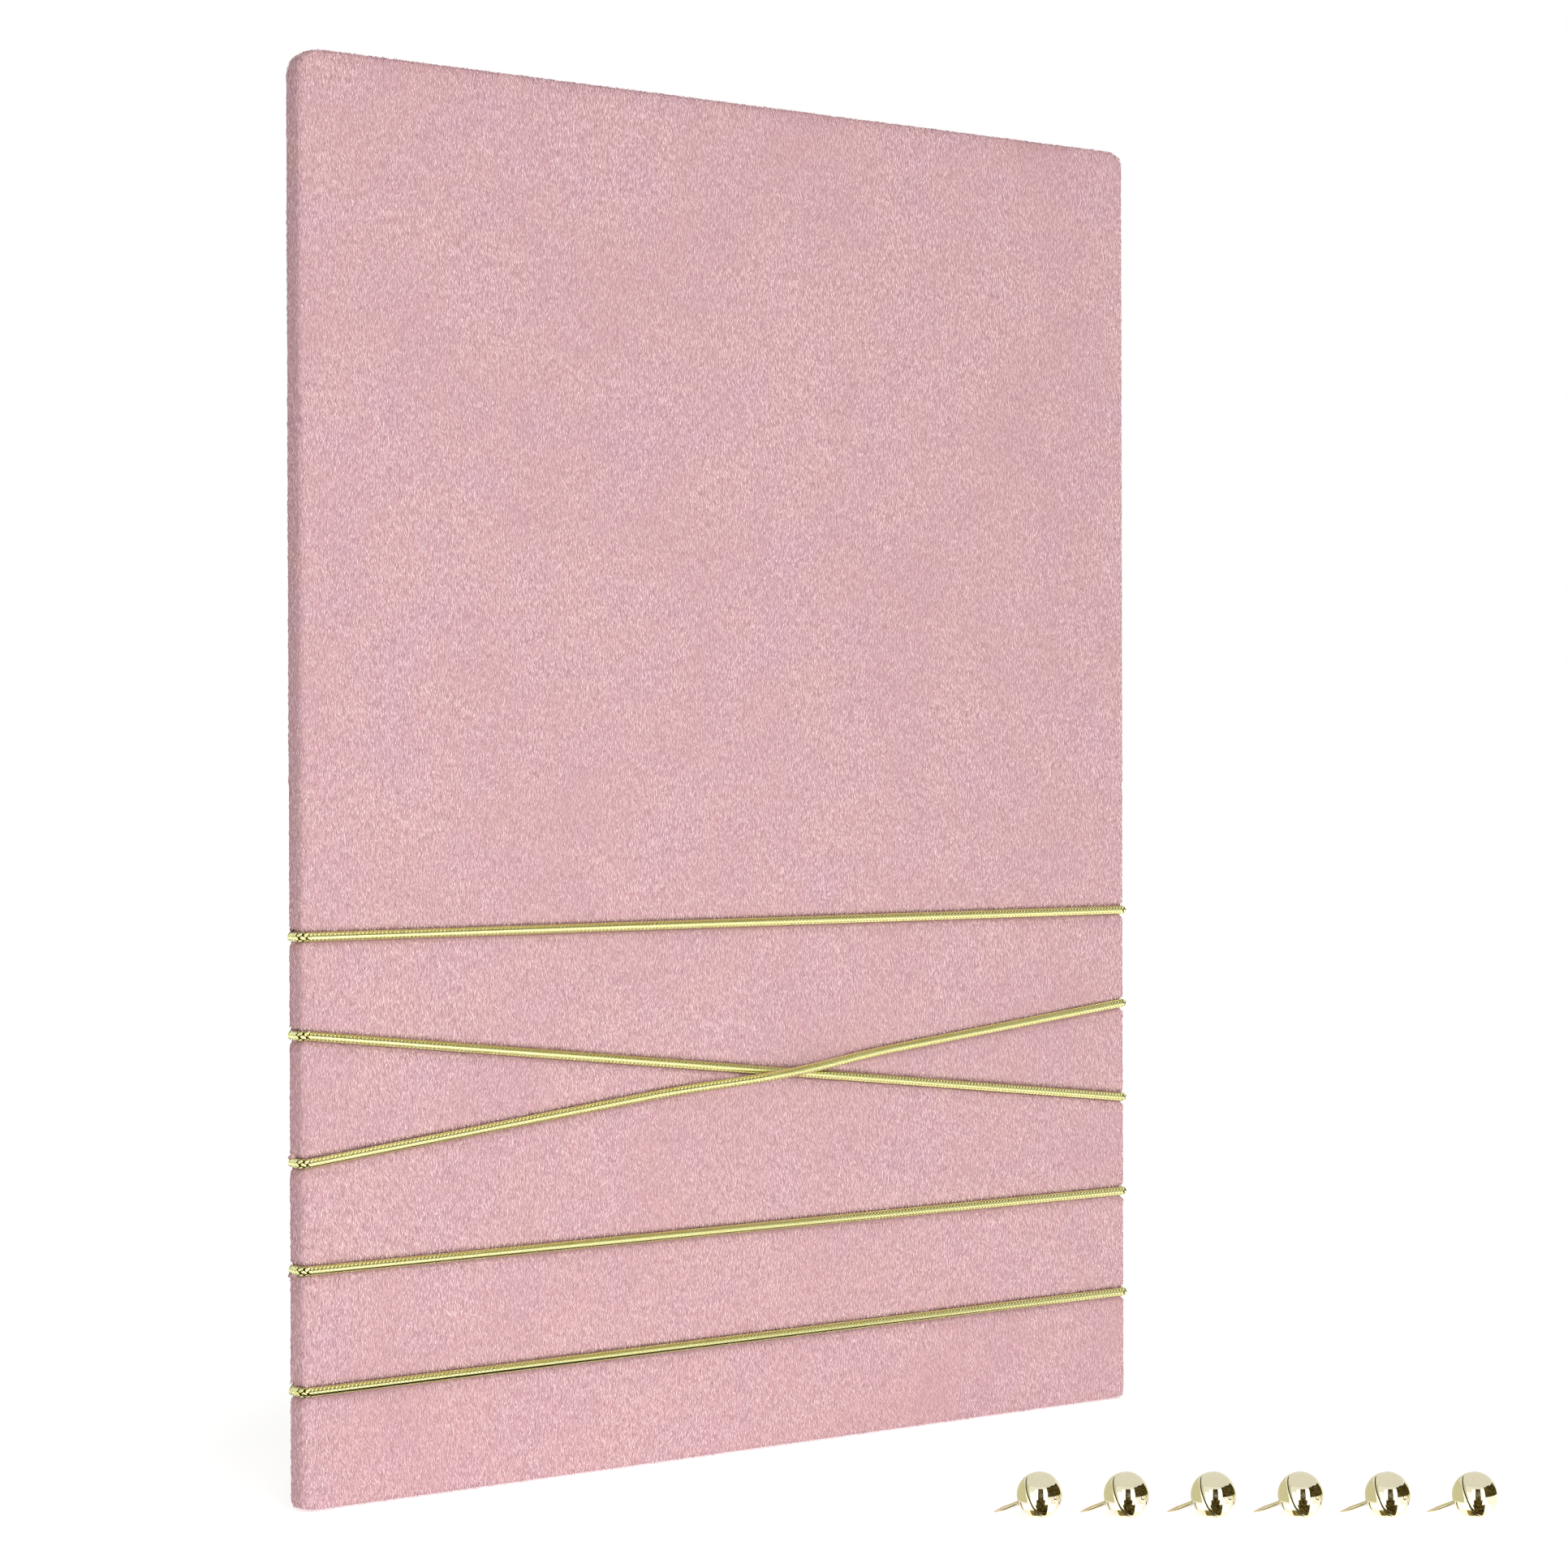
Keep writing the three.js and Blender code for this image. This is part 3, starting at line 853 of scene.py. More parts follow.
@dataclass
class PlushCover:
    """The plush wrap: its front, rounded edges, sides and turned over margin."""

    board: BoardForm
    route: CordRoute
    column_step: float = 3 * MM
    row_step: float = 0.75 * MM
    upper_row_step: float = 3 * MM
    fine_above_cords: float = 6 * MM
    edge_steps: int = 6
    side_steps: int = 3
    margin_steps: int = 8
    pile_recess: float = 0.25 * MM
    groove_depth: float = 2 * MM
    groove_round: float = 0.35
    shoulder: float = 1.0 * MM
    thickness: float = 1.75 * MM
    bare_above_cord: float = 1.8 * MM
    bare_below_cord: float = 0.9 * MM
    bare_until_lift: float = 0.4
    facing: float = 0.6
    shown_margin: float = 7 * MM

    @property
    def flat_half(self) -> float:
        """Half the width of the flat front, inside its rounded edge."""
        return self.board.width / 2 - self.board.edge_round

    @property
    def flat_ends(self) -> Span:
        """The heights between which the front is flat."""
        return self.board.edge_round, self.board.height - self.board.edge_round

    def columns(self) -> list[float]:
        """Places of the grid's columns across the flat front.

        Returns:
            The places from left to right.
        """
        half = self.flat_half
        count = round(2 * half / self.column_step)
        return [-half + 2 * half * step / count for step in range(count + 1)]

    def rows(self) -> list[float]:
        """Heights of the grid's rows, fine where the cords press the pile.

        Returns:
            The heights from the bottom up.
        """
        low, high = self.flat_ends
        fine_top = self.route.ends(0)[0] + self.fine_above_cords
        fine_count = round((fine_top - low) / self.row_step)
        upper_count = round((high - fine_top) / self.upper_row_step)
        fine = [low + (fine_top - low) * step / fine_count for step in range(fine_count)]
        return fine + [fine_top + (high - fine_top) * step / upper_count for step in range(upper_count + 1)]

    def corners(self) -> tuple[tuple[int, int, float, float], ...]:
        """The flat front's corners: the side, down or up, the radius and the height.

        Returns:
            One entry for each corner, from the lower left one round.
        """
        low, high = self.flat_ends
        lower_left, lower_right, upper_right, upper_left = self.board.flat_rounds()
        return (
            (-1, -1, lower_left, low), (1, -1, lower_right, low),
            (1, 1, upper_right, high), (-1, 1, upper_left, high),
        )

    def rounded(self, x: float, z: float) -> Vector:
        """Moves a grid point near a corner of the flat front into its rounded corner.

        Args:
            x: The point's place across the board.
            z: Its height.

        Returns:
            The point on the board's middle plane.
        """
        half = self.flat_half
        for side, up, radius, edge in self.corners():
            across = (side * x - (half - radius)) / radius
            upward = (up * (z - edge) + radius) / radius
            if across > 0 and upward > 0:
                wide = across * math.sqrt(max(0.0, 1 - upward * upward / 2))
                tall = upward * math.sqrt(max(0.0, 1 - across * across / 2))
                return Vector((side * (half - radius + radius * wide), 0, edge + up * radius * (tall - 1)))
        return Vector((x, 0, z))

    def outward(self, point: Vector) -> Vector:
        """The direction out of the flat front's outline at one of its border points.

        Args:
            point: A point of the border.

        Returns:
            A direction of length 1.
        """
        half = self.flat_half
        low, high = self.flat_ends
        for side, up, radius, edge in self.corners():
            off = point - Vector((side * (half - radius), 0, edge - up * radius))
            if side * off.x > -TINY and up * off.z > -TINY and off.length > radius / 2:
                return off.normalized()
        across = half - abs(point.x)
        upward = min(point.z - low, high - point.z)
        if across < upward:
            return Vector((math.copysign(1, point.x), 0, 0))
        return Vector((0, 0, 1 if high - point.z < point.z - low else -1))

    def pressed(self, point: Vector, normal: Vector) -> Vector:
        """Presses a surface point in beside and under the cords.

        Args:
            point: A point of the free surface.
            normal: The outward direction there.

        Returns:
            The point after the cords have pressed the pile.
        """
        deepest = 0.0
        cord = self.route.cord
        reach = self.route.radius + cord.fit
        for index in range(CORD_COUNT):
            lift = self.route.rise(index, point.x) if point.y < 0 else 0.0
            away = abs(point.z - self.route.height_at(index, point.x) + lift * cord.crossing_bow)
            sunk = max(0.0, self.groove_depth - self.pile_recess - lift * (cord.diameter + cord.fit))
            if away < reach:
                deepest = max(deepest, sunk * (1 - self.groove_round * (away / reach) ** 2))
            elif away < reach + self.shoulder:
                share = (away - reach) / self.shoulder
                deepest = max(deepest, sunk * (1 - self.groove_round) * (1 - share) ** 2)
        return point - normal * deepest

    def pile_share(self, point: Vector, normal: Vector) -> float:
        """How much pile grows at a place: none under a cord, below the board or under the sheet.

        Args:
            point: A point of the free surface.
            normal: The outward direction there.

        Returns:
            The share, 0 or 1.
        """
        if normal.z < -self.facing:
            return 0.0
        half, middle = self.board.width / 2, self.board.height / 2
        inside = min(half - abs(point.x), middle - abs(point.z - middle))
        if normal.y > self.facing and inside > self.shown_margin:
            return 0.0
        for index in range(CORD_COUNT):
            lift = self.route.rise(index, point.x) if point.y < 0 else 0.0
            above = point.z - self.route.height_at(index, point.x)
            if lift < self.bare_until_lift and -self.bare_below_cord < above < self.bare_above_cord:
                return 0.0
        return 1.0

    def border(self, columns: int, rows: int) -> list[tuple[int, int]]:
        """Grid places of the border, running round once as seen from the front.

        Args:
            columns: How many columns the grid has.
            rows: How many rows it has.

        Returns:
            The column and row of each place.
        """
        bottom = [(column, 0) for column in range(columns)]
        right = [(columns - 1, row) for row in range(1, rows)]
        top = [(column, rows - 1) for column in range(columns - 2, -1, -1)]
        left = [(0, row) for row in range(rows - 2, 0, -1)]
        return bottom + right + top + left

    def stations(self) -> list[tuple[float, float, float, float]]:
        """Rings over the edge: how far out, the depth, the cloth's length so far and the normal's turn.

        Returns:
            One entry for each ring, from the front to the back.
        """
        rings = []
        depth = self.board.depth / 2 - self.pile_recess
        front = self.board.edge_round - self.pile_recess
        back = self.board.back_edge_round - self.pile_recess
        quarter = math.pi / 2
        for step in range(1, self.edge_steps + 1):
            turn = quarter * step / self.edge_steps
            out, up = front * math.sin(turn), front * (1 - math.cos(turn))
            rings.append((out, -depth + up, front * turn, turn))
        flat = 2 * depth - front - back
        for step in range(1, self.side_steps + 1):
            along = flat * (step / self.side_steps)
            rings.append((front, -depth + front + along, front * quarter + along, quarter))
        for step in range(1, self.edge_steps + 1):
            turn = quarter * step / self.edge_steps
            rings.append((front - back * (1 - math.cos(turn)), depth - back * (1 - math.sin(turn)),
                          front * quarter + flat + back * turn, quarter + turn))
        return rings

    def build(self, skin: bpy.types.Mesh, material: bpy.types.Material) -> bpy.types.Object:
        """Gives the skin its wall.

        Args:
            skin: The wrap's outer skin.
            material: The plush.

        Returns:
            The finished cover.
        """
        piece = mesh_object("plush_wrap", skin.copy(), material)
        wall = piece.modifiers.new("wall", "SOLIDIFY")
        wall.thickness = self.thickness
        wall.offset = -1
        return plain_mesh(piece)

    def skin_mesh(self) -> bpy.types.Mesh:
        """Skins the wrap's outer side, with its cloth map and where its pile grows.

        Returns:
            The open skin, facing out.
        """
        columns, rows = self.columns(), self.rows()
        depth = self.board.depth / 2 - self.pile_recess
        work = bmesh.new()
        cloth = work.loops.layers.uv.new(CLOTH_UV)
        pile = work.verts.layers.float.new(PILE_SHARE)
        flat: dict[bmesh.types.BMVert, tuple[float, float]] = {}

        def vertex(point: Vector, normal: Vector, across: float, upward: float) -> bmesh.types.BMVert:
            """Adds a point of the skin with its share of pile and its place on the flat cloth.

            Args:
                point: The point before the cords press it.
                normal: The outward direction there.
                across: Its place across the flat cloth.
                upward: Its place up the flat cloth.

            Returns:
                The new point.
            """
            made = work.verts.new(self.pressed(point, normal))
            made[pile] = self.pile_share(point, normal)
            flat[made] = (across, upward)
            return made

        grid = []
        for z in rows:
            line = []
            for x in columns:
                point = self.rounded(x, z)
                point.y = -depth
                line.append(vertex(point, Vector((0, -1, 0)), point.x, point.z))
            grid.append(line)
        for row in range(len(rows) - 1):
            for column in range(len(columns) - 1):
                work.faces.new((grid[row][column], grid[row][column + 1],
                                grid[row + 1][column + 1], grid[row + 1][column]))
        around = self.border(len(columns), len(rows))
        start = [self.rounded(columns[column], rows[row]) for column, row in around]
        outs = [self.outward(point) for point in start]
        last = [grid[row][column] for column, row in around]
        for out, y, length, turn in self.stations():
            ring = []
            for point, way in zip(start, outs, strict=True):
                place = point + way * out
                place.y = y
                normal = way * math.sin(turn) - Vector((0, math.cos(turn), 0))
                ring.append(vertex(place, normal, point.x + way.x * length, point.z + way.z * length))
            self.skin(work, last, ring)
            last = ring
        self.margin(work, last, start, outs, vertex, depth)
        for face in work.faces:
            for loop in face.loops:
                loop[cloth].uv = flat[loop.vert]
        return finished_mesh("plush_skin", work)

    def skin(self, work: bmesh.types.BMesh, first: Ring, second: Ring) -> None:
        """Joins two rings of equally many vertices with faces.

        Args:
            work: The working mesh.
            first: The ring that the faces start from.
            second: The ring that they reach.
        """
        count = len(first)
        for at in range(count):
            after = (at + 1) % count
            work.faces.new((first[at], first[after], second[after], second[at]))

    def margin(self, work: bmesh.types.BMesh, last: Ring, start: list[Vector], outs: list[Vector],
               vertex: VertexMaker, depth: float) -> None:
        """Lays the turned over margin on the back, drawn in evenly to the opening.

        Args:
            work: The working mesh.
            last: The ring that the margin starts from.
            start: The front's border points.
            outs: The outward direction at each of them.
            vertex: Adds a point of the skin.
            depth: How far behind the middle plane the margin lies.
        """
        half = self.board.width / 2
        middle = self.board.height / 2
        inner_wide = (half - self.board.turn_over) / (half - self.board.edge_round)
        inner_tall = (middle - self.board.turn_over) / (middle - self.board.edge_round)
        edge_length = self.stations()[-1][2]
        for step in range(1, self.margin_steps + 1):
            share = step / self.margin_steps
            ring = []
            for point, way in zip(start, outs, strict=True):
                wide = 1 + (inner_wide - 1) * share
                tall = 1 + (inner_tall - 1) * share
                place = Vector((point.x * wide, depth, middle + (point.z - middle) * tall))
                length = edge_length + share * self.board.turn_over
                ring.append(vertex(place, Vector((0, 1, 0)), point.x + way.x * length,
                                   point.z + way.z * length))
            self.skin(work, last, ring)
            last = ring


@dataclass
class PlushPile:
    """The pile that covers the wrap: short tufts that lie along the nap, in bands of height.

    The nap runs down and a little forward, leans to the right and drifts to and fro over nap_size,
    and each tuft strays a little from it. On the side faces the pile rises only to side_rise of its rise.
    The pile's map is map_size wide, with the board in its middle.
    """

    spacing: float = 0.57 * MM
    density: float = 2.6e6
    length: float = 1.5 * MM
    width: float = 0.44 * MM
    rise: float = 0.28 * MM
    side_rise: float = 0.45
    side_span: Span = (0.4, 0.95)
    least_size: Place = (0.75, 0.7, 0.55)
    most_size: Place = (1.25, 1.3, 1.25)
    lean: float = 0.16
    forward: float = 0.3
    drift: float = 0.75
    nap: Grain = Grain(1.0, 1.5)
    nap_size: float = 36 * MM
    stray: float = 0.2
    map_size: float = 0.42
    map_middle: float = 0.5
    map_foot: float = 0.02
    band_tops: tuple[float, ...] = (80 * MM, 164 * MM, 247 * MM, 329 * MM, 410 * MM)
    tuft_corners: tuple[Place, ...] = (
        (-0.25, -0.1, -0.15), (-0.5, 0.35, -0.1), (0.5, 0.35, -0.1), (0, 0.42, 1), (0.2, 1, 0.3),
    )
    tuft_faces: tuple[tuple[int, int, int], ...] = (
        (0, 3, 1), (0, 2, 3), (0, 1, 2), (4, 1, 3), (4, 3, 2), (4, 2, 1),
    )
    # How much painted shade each corner gets: most at the tuft's foot and sides, none on the ridge.
    tuft_rim_shades: tuple[float, ...] = (1.0, 1.0, 1.0, 0.0, 0.2)

    def tuft(self) -> bpy.types.Object:
        """Makes one closed tuft of unit size, lying along +Y with its ridge up and its rim marked for
        painted shade.

        Returns:
            The tuft, which the tree repeats.
        """
        mesh = bpy.data.meshes.new("tuft")
        mesh.from_pydata(self.tuft_corners, [], self.tuft_faces)
        rim = mesh.attributes.new(PILE_RIM_SHADE, "FLOAT", "POINT")
        rim.data.foreach_set("value", self.tuft_rim_shades)
        return linked("tuft", mesh)

    def build(self, skin: bpy.types.Mesh, material: bpy.types.Material) -> list[bpy.types.Object]:
        """Grows the pile on the wrap's skin.

        Args:
            skin: The wrap's outer skin, with its share of pile.
            material: The tufts' finish.

        Returns:
            One piece for each band.
        """
        tuft = self.tuft()
        tree = self.grow()
        foot = -MM
        bands = []
        for number, top in enumerate(self.band_tops):
            piece = mesh_object(f"plush_pile_{number + 1}", skin.copy(), material)
            grow_on(piece, tree, {
                "Tuft": tuft, "Band Foot": foot, "Band Top": top, "Spacing": self.spacing,
                "Density": self.density, "Length": self.length, "Width": self.width,
                "Rise": self.rise, "Side Rise": self.side_rise, "Lean": self.lean,
                "Drift": self.drift, "Nap Size": self.nap_size, "Stray": self.stray,
                "Map Size": self.map_size, "Seed": number, "Finish": material,
            })
            bands.append(plain_mesh(piece))
            foot = top
        bpy.data.objects.remove(tuft)
        return bands

    def grow(self) -> bpy.types.NodeTree:
        """Builds the node tree that sets tufts on a skin.

        Returns:
            The tree, with the tufts' sizes as its inputs.
        """
        numbers = ("Band Foot", "Band Top", "Spacing", "Density", "Length", "Width", "Rise",
                   "Side Rise", "Lean", "Drift", "Nap Size", "Stray", "Map Size")
        sheet = geometry_sheet("plush pile", {
            "Tuft": SocketKind.OBJECT, **dict.fromkeys(numbers, SocketKind.NUMBER),
            "Seed": SocketKind.COUNT, "Finish": SocketKind.MATERIAL,
        })
        given = sheet.add("NodeGroupInput").outputs
        place = sheet.add("GeometryNodeInputPosition").outputs[0]
        height = sheet.parts(place)[2]
        in_band = sheet.math("MULTIPLY", sheet.math("GREATER_THAN", height, given["Band Foot"]),
                             sheet.math("LESS_THAN", height, given["Band Top"]))
        share = sheet.add("GeometryNodeInputNamedAttribute", {"data_type": "FLOAT"}, {
            "Name": PILE_SHARE,
        }).outputs["Attribute"]
        spots = sheet.add("GeometryNodeDistributePointsOnFaces", {"distribute_method": "POISSON"}, {
            "Mesh": given["Geometry"], "Selection": in_band, "Distance Min": given["Spacing"],
            "Density Max": given["Density"], "Density Factor": share, "Seed": given["Seed"],
        })
        shape = sheet.add("GeometryNodeObjectInfo", {}, {"Object": given["Tuft"]}).outputs["Geometry"]
        set_out = sheet.add("GeometryNodeInstanceOnPoints", {}, {
            "Points": spots.outputs["Points"], "Instance": shape,
            "Rotation": self.lay(sheet, given, place, spots.outputs["Normal"]),
            "Scale": self.size(sheet, given, spots.outputs["Normal"]),
        }).outputs[0]
        tint = sheet.add("FunctionNodeRandomValue", {"data_type": "FLOAT"}, {"Seed": TINT_SEED}).outputs[1]
        tinted = sheet.store(set_out, PILE_TINT, tint, domain="INSTANCE")
        whole = sheet.add("GeometryNodeRealizeInstances", {}, {0: tinted}).outputs[0]
        mapped = sheet.store(whole, PILE_MAP, self.chart(sheet, given, place), "FLOAT2", "CORNER")
        finished = sheet.add("GeometryNodeSetMaterial", {}, {0: mapped, "Material": given["Finish"]})
        smooth = sheet.add("GeometryNodeSetShadeSmooth", {}, {0: finished.outputs[0]}).outputs[0]
        sheet.show("NodeGroupOutput", smooth)
        return sheet.tree

    def size(self, sheet: NodeSheet, given: Sockets, normal: Socket) -> Socket:
        """Gives each tuft its own size, lower where the side faces press the pile.

        Args:
            sheet: The nodes that it adds to.
            given: The tree's inputs.
            normal: The skin's outward direction at each tuft.

        Returns:
            The scale of each tuft.
        """
        facing = sheet.math("ABSOLUTE", sheet.parts(normal)[0])
        pressed = sheet.spread(facing, self.side_span, (1.0, given["Side Rise"]))
        size = sheet.joined({
            0: given["Width"], 1: given["Length"], 2: sheet.math("MULTIPLY", given["Rise"], pressed),
        })
        unlike = sheet.add("FunctionNodeRandomValue", {"data_type": "FLOAT_VECTOR"}, {
            0: self.least_size, 1: self.most_size, "Seed": SIZE_SEED,
        }).outputs[0]
        return sheet.vector("MULTIPLY", size, unlike)

    def lay(self, sheet: NodeSheet, given: Sockets, place: Socket, normal: Socket) -> Socket:
        """Turns each tuft to stand on the skin and lie along the drifting nap.

        Args:
            sheet: The tree's nodes.
            given: The tree's inputs.
            place: The place of each tuft.
            normal: The skin's outward direction there.

        Returns:
            The rotation of each tuft.
        """
        turns = sheet.scaled(place, sheet.math("DIVIDE", 1.0, given["Nap Size"]))
        drifting = sheet.math("SUBTRACT", sheet.noise(turns, self.nap), 0.5)
        drift = sheet.math("MULTIPLY", drifting, sheet.math("MULTIPLY", given["Drift"], 2.0))
        stray = sheet.add("FunctionNodeRandomValue", {"data_type": "FLOAT"}, {
            2: -1.0, 3: 1.0, "Seed": STRAY_SEED,
        }).outputs[1]
        across = sheet.math("ADD", sheet.math("ADD", drift, given["Lean"]),
                            sheet.math("MULTIPLY", stray, given["Stray"]))
        nap = sheet.joined({0: across, 1: -self.forward, 2: -1.0})
        upright = sheet.add("FunctionNodeAlignRotationToVector", {"axis": "Z"}, {"Vector": normal})
        return sheet.add("FunctionNodeAlignRotationToVector", {"axis": "Y", "pivot_axis": "Z"}, {
            "Rotation": upright.outputs[0], "Vector": nap,
        }).outputs[0]

    def chart(self, sheet: NodeSheet, given: Sockets, place: Socket) -> Socket:
        """Lays the tufts out on a map as they are seen from the front.

        Args:
            sheet: The nodes that it adds to.
            given: The tree's inputs.
            place: The place of each corner.

        Returns:
            The place on the map.
        """
        parts = sheet.parts(place)
        share = sheet.math("DIVIDE", 1.0, given["Map Size"])
        return sheet.joined({
            0: sheet.math("ADD", sheet.math("MULTIPLY", parts[0], share), self.map_middle),
            1: sheet.math("ADD", sheet.math("MULTIPLY", parts[2], share), self.map_foot),
        })


@dataclass
class BraidedCord:
    """An elastic cord: a core in a sleeve of metallised yarn.

    The yarn's floats stand in wales round the cord and lean this way in one wale and that way in the
    next. A float's profile has, from its rim to its middle, the share of its size, how far below its
    top it lies and how much painted shade it gets.
    """

    route: CordRoute
    wales: int = 8
    first_wale: float = math.radians(-11)
    first_turn: float = 0.75
    odd_shift: float = 0.5
    float_pitch: float = 1.25 * MM
    slant: float = math.radians(36)
    float_length: float = 2.15 * MM
    float_width: float = 1.06 * MM
    core_depth: float = 0.12 * MM
    float_sides: int = 10
    core_sides: int = 12
    core_step: float = 1.6 * MM
    profile: tuple[Place, ...] = (
        (1.0, 0.16 * MM, 0.75), (0.9, 0.022 * MM, 0.3), (0.76, 0.004 * MM, 0.0),
    )
    tip_shade: float = 1.3
    tree: bpy.types.NodeTree | None = field(default=None, repr=False)

    def float_shape(self, way: int) -> bpy.types.Object:
        """Makes one closed float, bent round the cord, with the painted shade of each point, most at its
        rim and tips.

        Args:
            way: 1 or -1, for the side to which the float leans.

        Returns:
            The float, whose cord runs along Y through the origin.
        """
        work = bmesh.new()
        edge = work.verts.layers.float.new(YARN_GAP_SHADE)

        def vertex(along: float, across: float, drop: float, rim: float) -> bmesh.types.BMVert:
            """Adds a point by its place on the float, bent round the cord.

            Args:
                along: Its place along the float.
                across: Its place across the float.
                drop: How far below the float's top it lies.
                rim: How much painted shade it gets, most near the rim.

            Returns:
                The new point.
            """
            lengthwise = along * math.cos(self.slant) - way * across * math.sin(self.slant)
            turn = (way * along * math.sin(self.slant) + across * math.cos(self.slant)) / self.route.radius
            height = self.route.radius - drop
            made = work.verts.new((height * math.sin(turn), lengthwise, height * math.cos(turn)))
            made[edge] = rim
            return made

        rings = []
        for share, drop, rim in self.profile:
            ring = []
            for at in range(self.float_sides):
                turn = 2 * math.pi * at / self.float_sides
                along = share * math.cos(turn) * self.float_length / 2
                across = share * math.sin(turn) * self.float_width / 2
                # More painted shade towards the float's tips, where they dive under their neighbours.
                tip = share ** 3 * self.tip_shade * math.cos(turn) ** 4
                ring.append(vertex(along, across, drop, rim + tip))
            rings.append(ring)
        top = vertex(0, 0, 0, 0)
        work.faces.new(rings[0])
        for low, high in zip(rings, rings[1:]):
            for at in range(self.float_sides):
                after = (at + 1) % self.float_sides
                work.faces.new((low[at], low[after], high[after], high[at]))
        for at in range(self.float_sides):
            work.faces.new((rings[-1][at], rings[-1][(at + 1) % self.float_sides], top))
        return linked("yarn_float", finished_mesh("yarn_float", work))

    def path(self, label: str, way: list[Vector]) -> bpy.types.Object:
        """Makes a curve of straight steps along a cord's way.

        Args:
            label: The curve's name.
            way: The points of the cord's middle line.

        Returns:
            The curve, which the tree follows.
        """
        curve = bpy.data.curves.new(label, "CURVE")
        curve.dimensions = "3D"
        spline = curve.splines.new("POLY")
        spline.points.add(len(way) - 1)
        for point, place in zip(spline.points, way, strict=True):
            point.co = (*place, 1.0)
        return linked(label, curve)

    def build(self, index: int, material: bpy.types.Material) -> bpy.types.Object:
        """Sleeves one cord along its way.

        Args:
            index: The cord, counted from the top.
            material: The yarn's finish.

        Returns:
            The finished cord as a plain mesh.
        """
        way = self.route.points(index)
        helpers = {
            "Path": self.path(f"cord_path_{index + 1}", way),
            "Left Float": self.float_shape(1),
            "Right Float": self.float_shape(-1),
        }
        piece = mesh_object(f"braided_cord_{index + 1}", bpy.data.meshes.new("cord"), material)
        if self.tree is None:
            self.tree = self.grow()
        length = sum((after - before).length for before, after in zip(way, way[1:]))
        grow_on(piece, self.tree, {
            **helpers,
            "Floats": math.floor(length / self.float_pitch - 1),
            "Pitch": self.float_pitch,
            "Wales": self.wales,
            "First Wale": self.first_wale,
            "Core Radius": self.route.radius - self.core_depth,
            "Core Step": self.core_step,
            "Press From": self.route.inner_depth,
            "Press Share": self.route.press_share,
            "Finish": material,
        })
        plain_mesh(piece)
        for helper in helpers.values():
            bpy.data.objects.remove(helper)
        return piece

    def grow(self) -> bpy.types.NodeTree:
        """Builds the node tree that sleeves a path with floats.

        Returns:
            The tree, with the cord's sizes as its inputs.
        """
        numbers = ("Pitch", "First Wale", "Core Radius", "Core Step", "Press From", "Press Share")
        sheet = geometry_sheet("braided cord", {
            **dict.fromkeys(("Path", "Left Float", "Right Float"), SocketKind.OBJECT),
            **dict.fromkeys(("Floats", "Wales"), SocketKind.COUNT),
            **dict.fromkeys(numbers, SocketKind.NUMBER),
            "Finish": SocketKind.MATERIAL,
        })
        given = sheet.add("NodeGroupInput").outputs
        path = sheet.add("GeometryNodeObjectInfo", {"transform_space": "RELATIVE"}, {
            "Object": given["Path"],
        }).outputs["Geometry"]
        both = sheet.add("GeometryNodeJoinGeometry")
        for part in (self.core(sheet, given, path), self.sleeve(sheet, given, path)):
            sheet.tree.links.new(part, both.inputs[0])
        pressed = self.press(sheet, given, both.outputs[0])
        finished = sheet.add("GeometryNodeSetMaterial", {}, {0: pressed, "Material": given["Finish"]})
        smooth = sheet.add("GeometryNodeSetShadeSmooth", {}, {0: finished.outputs[0]}).outputs[0]
        sheet.show("NodeGroupOutput", smooth)
        return sheet.tree

    def core(self, sheet: NodeSheet, given: Sockets, path: Socket) -> Socket:
        """Runs the core along the path, all in painted gap shade where it shows between the floats.

        Args:
            sheet: The nodes that it adds to.
            given: The tree's inputs.
            path: The cord's middle line.

        Returns:
            The core's tube.
        """
        even = sheet.add("GeometryNodeResampleCurve", {"mode": "LENGTH"}, {
            "Curve": path, "Length": given["Core Step"],
        }).outputs[0]
        circle = sheet.add("GeometryNodeCurvePrimitiveCircle", {"mode": "RADIUS"}, {
            "Resolution": self.core_sides, "Radius": given["Core Radius"],
        }).outputs[0]
        tube = sheet.add("GeometryNodeCurveToMesh", {}, {
            "Curve": even, "Profile Curve": circle, "Fill Caps": True,
        }).outputs[0]
        # The whole core takes the full painted shade of the gaps.
        return sheet.store(tube, YARN_GAP_SHADE, 1.0)

    def sleeve(self, sheet: NodeSheet, given: Sockets, path: Socket) -> Socket:
        """Sets the floats round the path, wale by wale.

        Args:
            sheet: The tree's nodes.
            given: The tree's inputs.
            path: The cord's middle line.

        Returns:
            All floats as one mesh.
        """
        count = sheet.math("MULTIPLY", given["Floats"], given["Wales"])
        spots = sheet.add("GeometryNodeMeshLine", {"mode": "OFFSET", "count_mode": "TOTAL"}, {
            "Count": count, "Offset": (0.0, 0.0, 1.0),
        }).outputs[0]
        index = sheet.add("GeometryNodeInputIndex").outputs[0]
        wale = sheet.math("FLOORED_MODULO", index, given["Wales"])
        number = sheet.math("FLOOR", sheet.math("DIVIDE", index, given["Wales"]))
        odd = sheet.math("FLOORED_MODULO", wale, 2.0)
        shift = sheet.math("ADD", sheet.math("MULTIPLY", odd, self.odd_shift), self.first_turn)
        along = sheet.math("MULTIPLY", sheet.math("ADD", number, shift), given["Pitch"])
        sample = sheet.add("GeometryNodeSampleCurve", {
            "mode": "LENGTH", "use_all_curves": False, "data_type": "FLOAT",
        }, {"Curves": path, "Length": along}).outputs
        turned = self.turn(sheet, given, wale, sample["Tangent"])
        held = sheet.store(spots, "turned", turned, "QUATERNION")
        marked = sheet.store(held, "leans_right", odd, "BOOLEAN")
        placed = sheet.add("GeometryNodeSetPosition", {}, {
            0: marked, "Position": sample["Position"],
        }).outputs[0]
